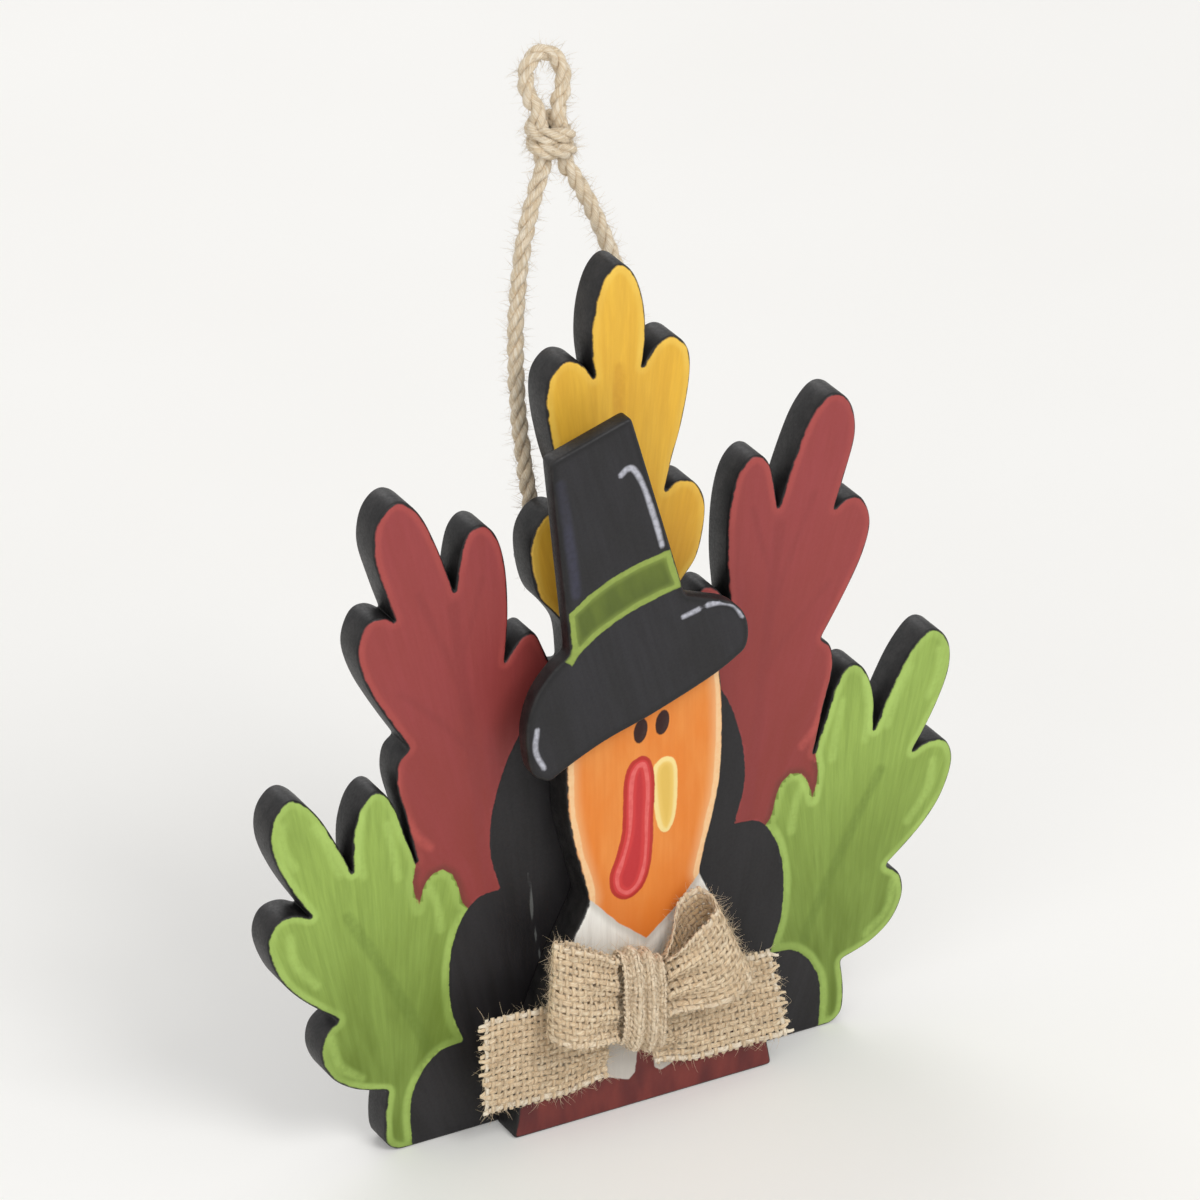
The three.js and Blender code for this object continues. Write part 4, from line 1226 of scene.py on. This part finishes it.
print("bow")
burlapMaterial = threadMaterial("burlap_thread", burlapLook)
for word, seed in (("left", 300), ("right", 320)):
    loop, tail = bowLook[word + "Loop"], bowLook[word + "Tail"]
    wovenRibbon("loop_" + word, lambda s: loopSection(loop, s), bowLook["pleats"], seed, isLoop=True)
    wovenRibbon("tail_" + word, lambda s: tailSection(tail, s), bowLook["pleats"], seed + 9, frayedEnd=True)
# The knot's threads all take a pale mark, a painted highlight for the light it catches
wovenRibbon("knot", knotSection, bowLook["knotPleats"], 500, dome=bowLook["knotDome"],
            highlightMark=burlapLook["knotHighlight"], cover=burlapLook["knotCover"])

# Twine hanger

twineLook = {
    **fibreLook,
    "thread": paint(246, 233, 208), "threadLight": paint(255, 248, 233), "threadDark": paint(218, 197, 165),
    "selvageAndHighlight": paint(255, 248, 233), "fleck": paint(176, 150, 116),
    "turns": 1.6, "fineness": 2.6, "bumpDepth": 0.2,
    "diameter": 2.8, "plies": 3, "plyRadius": 0.68, "plyPitch": 8.5, "step": 0.5, "sides": 8,
    "lean": 13.0, "seat": 1.7,
    "legRoute": ((-10.8, 0.2), (-11.2, 10), (-11.2, 20), (-10.4, 30), (-8.6, 40), (-5.9, 49), (-3.3, 55),
                 (-2, 57.7)),
    "eyeRoute": ((-1.8, 66.3), (-2.9, 68.8), (-3.3, 71.6), (-2.4, 74.4), (0, 75.8), (2.4, 74.4), (3.3, 71.6),
                 (2.9, 68.8), (1.8, 66.3)),
    "endLength": 8.0, "endShares": (1.0, 0.66, 0.33),
    "knotPlace": 62.0, "knotWidth": 8.4, "knotHeight": 8.0, "knotDepth": 7.0, "knotTurns": 2.2,
    "knotPoints": 160, "knotTuck": 0.08, "tuckedShare": 0.45, "knotWave": 0.5,
    # How far the plies stray and swell, and over what length
    "twistStray": (0.25, 14), "awayStray": (0.08, 5), "plySwell": (0.1, 4),
    "fuzz": 3200, "knotFuzz": 900, "fuzzLength": (0.9, 3.0), "fuzzWidth": 0.035, "fuzzStand": (0.15, 1.1),
    "fuzzFlat": 0.0, "fuzzDepth": 0.35,
}
hinge = np.array(frame["joints"][0]["pos_m"]) / mm


def onHanger(across, up, outward=0.0):
    lean = math.radians(twineLook["lean"])
    inFront = twineLook["seat"] - outward
    return hinge + np.array([across, up * math.sin(lean) - inFront * math.cos(lean),
                             up * math.cos(lean) + inFront * math.sin(lean)])


def twinePath():
    look = twineLook
    ends = []
    for share in look["endShares"]:
        low = hinge[2] - share * look["endLength"]
        ends.append(np.array([look["legRoute"][0][0], hinge[1] - look["seat"], low]))
    leg = [onHanger(*point) for point in look["legRoute"]]
    eye = [onHanger(*point) for point in look["eyeRoute"]]
    left = [*ends, *leg]
    right = [point * (-1, 1, 1) for point in reversed(left)]
    return curveThrough([*left, *eye, *right], look["step"])


# Directions square to a path that turn with it and never spin about it
def squareTo(path, first):
    across = np.empty_like(path)
    side = np.array(first, float)
    tangents = rowUnit(np.gradient(path, axis=0))
    for k, tangent in enumerate(tangents):
        side = side - tangent * side.dot(tangent)
        side /= np.linalg.norm(side)
        across[k] = side
    return across, np.cross(tangents, across)


# Plies twisted round each other along a path
def twistedPlies(path, look, seed):
    across, outward = squareTo(path, (0, 1, 0))
    along = np.concatenate([[0], np.cumsum(np.linalg.norm(np.diff(path, axis=0), axis=1))])
    draw = random.Random(seed)

    def stray(ownSeed, amount):
        return amount[0] * wander(along, ownSeed, amount[1])

    lines = []
    for ply in range(look["plies"]):
        angle = along / look["plyPitch"] * math.tau + ply / look["plies"] * math.tau
        angle += stray(seed + ply, look["twistStray"])
        away = (look["diameter"] / 2 - look["plyRadius"]) * (1 + stray(seed + 9 + ply, look["awayStray"]))
        direction = across * np.cos(angle)[:, None] + outward * np.sin(angle)[:, None]
        centres = path + direction * away[:, None]
        plyAcross, plyOutward = squareTo(centres, direction[0])
        radius = (look["plyRadius"] * (1 + stray(seed + 20 + ply, look["plySwell"])))[:, None]
        lines.append((centres, plyAcross * radius, plyOutward * radius, draw.random(), 0.0))
    return lines


# Roots of loose fibres round a twine
def fibresOn(path):
    ways = rowUnit(np.gradient(path, axis=0))

    def rootsOf(draw, count):
        spots = draw.integers(len(path), size=count)
        outward = rowUnit(np.cross(ways[spots], draw.normal(size=(count, 3))))
        return path[spots] + outward * (twineLook["diameter"] / 2 - twineLook["fuzzDepth"]), outward
    return rootsOf


# The coil of the knot, with both ends tucked in
def knotPath():
    look = twineLook
    share = np.linspace(0, 1, look["knotPoints"])
    turn = share * look["knotTurns"] * math.tau
    tuck = smoothShare(share, 0, look["knotTuck"]) * smoothShare(share, 1, 1 - look["knotTuck"])
    reach = look["tuckedShare"] + (1 - look["tuckedShare"]) * tuck
    radius = look["diameter"] / 2
    points = []
    for s, angle, out in zip(share, turn, reach):
        wide = (look["knotWidth"] / 2 - radius) * out
        deep = (look["knotDepth"] / 2 - radius) * out
        up = look["knotPlace"] + (s - 0.5) * (look["knotHeight"] - look["diameter"])
        up += look["knotWave"] * math.cos(angle)
        points.append(onHanger(wide * math.sin(angle), up, deep * math.cos(angle)))
    return evenly(np.array(points), look["step"])


def makeTwine(name, path, seed, fuzz):
    bm = bmesh.new()
    spunTubes(bm, twistedPlies(path, twineLook, seed), twineLook["sides"])
    spunTubes(bm, looseFibres(twineLook, seed + 10, fuzz, fibresOn(path)), fibreSides)
    closeTubes(bm)
    return newPiece(name, bm, juteMaterial)


print("twine")
juteMaterial = threadMaterial("jute_twine", twineLook)
path = twinePath()
twine = makeTwine("twisted_twine", path, 600, twineLook["fuzz"])
twineKnot = makeTwine("twine_knot", knotPath(), 640, twineLook["knotFuzz"])
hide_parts("hanger_knot")
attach(twineKnot, "hanger")

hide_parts("hanger_leg_left", "hanger_leg_right", "hanger_eye", "twine_end_left", "twine_end_right")
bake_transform(twine)

# Staples

stapleLook = {
    "steel": paint(176, 178, 182), "worn": paint(120, 118, 116), "wire": 0.7, "flat": 0.8, "bend": 0.9,
    "bendCut": 0.3, "step": 0.15, "sides": 10, "streakNoise": (3.0, 4.0, 0.6), "wornFade": (0.4, 0.75),
    "roughFade": (0.3, 0.7), "roughness": (0.25, 0.45), "bump": 0.3, "bumpDepth": 0.03,
}


def stapleMaterial(look):
    material, tree, shader = newMaterial("staple_steel")
    streak = noise(tree, ownPlace(tree), *look["streakNoise"])
    colour = fadeOver(tree, look["steel"], streak, look["wornFade"], 1.0, look["worn"])
    feed(tree, shader.inputs["Base Color"], colour)
    feed(tree, shader.inputs["Roughness"], fade(tree, streak, *look["roughFade"], *look["roughness"]))
    shader.inputs["Metallic"].default_value = 1.0
    addBump(tree, shader, streak, look["bump"], look["bumpDepth"])
    return material


# A bent wire in place of each plain staple
def wireStaple(word, look):
    low, high = (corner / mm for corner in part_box("staple_" + word))
    radius = look["wire"] / 2
    left, right = low.x + radius, high.x - radius
    tip, crown, middle = low.y, high.y - radius, (low.z + high.z) / 2
    bend, cut = look["bend"], look["bendCut"] * look["bend"]
    outline = [(left, tip), (left, crown - bend), (left + cut, crown - cut), (left + bend, crown),
               (right - bend, crown), (right - cut, crown - cut), (right, crown - bend), (right, tip)]
    path = evenly(np.array([(x, y, middle) for x, y in outline]), look["step"])
    across, outward = squareTo(path, (0, 0, 1))
    bm = bmesh.new()
    spunTubes(bm, [(path, across * radius, outward * radius * look["flat"], 0.5, 0.0)], look["sides"])
    closeTubes(bm)
    staple = newPiece("wire_staple_" + word, bm, steel)
    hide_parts("staple_" + word)
    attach(staple, "figure")


print("staples")
steel = stapleMaterial(stapleLook)
wireStaple("left", stapleLook)
wireStaple("right", stapleLook)

# Floor, world and lamps

studioLook = {
    "floor": paint(236, 234, 230), "floorWarm": paint(240, 239, 236), "floorNoise": (0.01, 2.0),
    "floorSize": 6.0, "floorRoughness": 0.8, "floorGlow": 0.12, "white": paint(255, 255, 255),
    "worldStrength": 0.55, "seenStrength": 0.95, "aim": (0, 0, 0.08),
    "lamps": (
        {"name": "key", "place": (0.2, -1.02, 1.12), "size": 0.7, "power": 7.9},
        {"name": "fill", "place": (-0.95, -0.65, 0.6), "size": 0.9, "power": 2.2},
        {"name": "back", "place": (0.2, 1.0, 0.9), "size": 0.8, "power": 3.4},
    ),
}


def makeFloor(look):
    bm = bmesh.new()
    bmesh.ops.create_grid(bm, x_segments=2, y_segments=2, size=look["floorSize"])
    material, tree, shader = newMaterial("floor")
    patch = noise(tree, ownPlace(tree), *look["floorNoise"])
    colour = mixColour(tree, patch, look["floor"], look["floorWarm"])
    feed(tree, shader.inputs["Base Color"], colour)
    shader.inputs["Roughness"].default_value = look["floorRoughness"]
    shader.inputs["Emission Color"].default_value = look["white"]
    ray = addNode(tree, "ShaderNodeLightPath")
    seen = calc(tree, "MAXIMUM", ray.outputs["Is Camera Ray"], ray.outputs["Is Glossy Ray"])
    feed(tree, shader.inputs["Emission Strength"], calc(tree, "MULTIPLY", seen, look["floorGlow"]))
    floor = newPiece("floor", bm, material, smooth=False)


def makeWorld(look):
    world = bpy.data.worlds.new("studio")
    world.use_nodes = True
    tree = world.node_tree
    background = tree.nodes["Background"]
    background.inputs["Color"].default_value = look["white"]
    ray = addNode(tree, "ShaderNodeLightPath")
    seen = calc(tree, "MAXIMUM", ray.outputs["Is Camera Ray"],
                calc(tree, "MAXIMUM", ray.outputs["Is Glossy Ray"], ray.outputs["Is Transmission Ray"]))
    feed(tree, background.inputs["Strength"],
         fade(tree, seen, 0.0, 1.0, look["worldStrength"], look["seenStrength"]))
    bpy.context.scene.world = world


def makeLamps(look):
    for lamp in look["lamps"]:
        light = bpy.data.lights.new(lamp["name"], "AREA")
        light.shape = "DISK"
        light.size = lamp["size"]
        light.energy = lamp["power"]
        holder = bpy.data.objects.new(lamp["name"], light)
        holder.location = lamp["place"]
        aim = Vector(look["aim"]) - holder.location
        holder.rotation_euler = aim.to_track_quat("-Z", "Y").to_euler()
        bpy.context.scene.collection.objects.link(holder)


print("studio")
makeFloor(studioLook)
makeWorld(studioLook)
makeLamps(studioLook)
bpy.context.scene.view_settings.view_transform = "Standard"
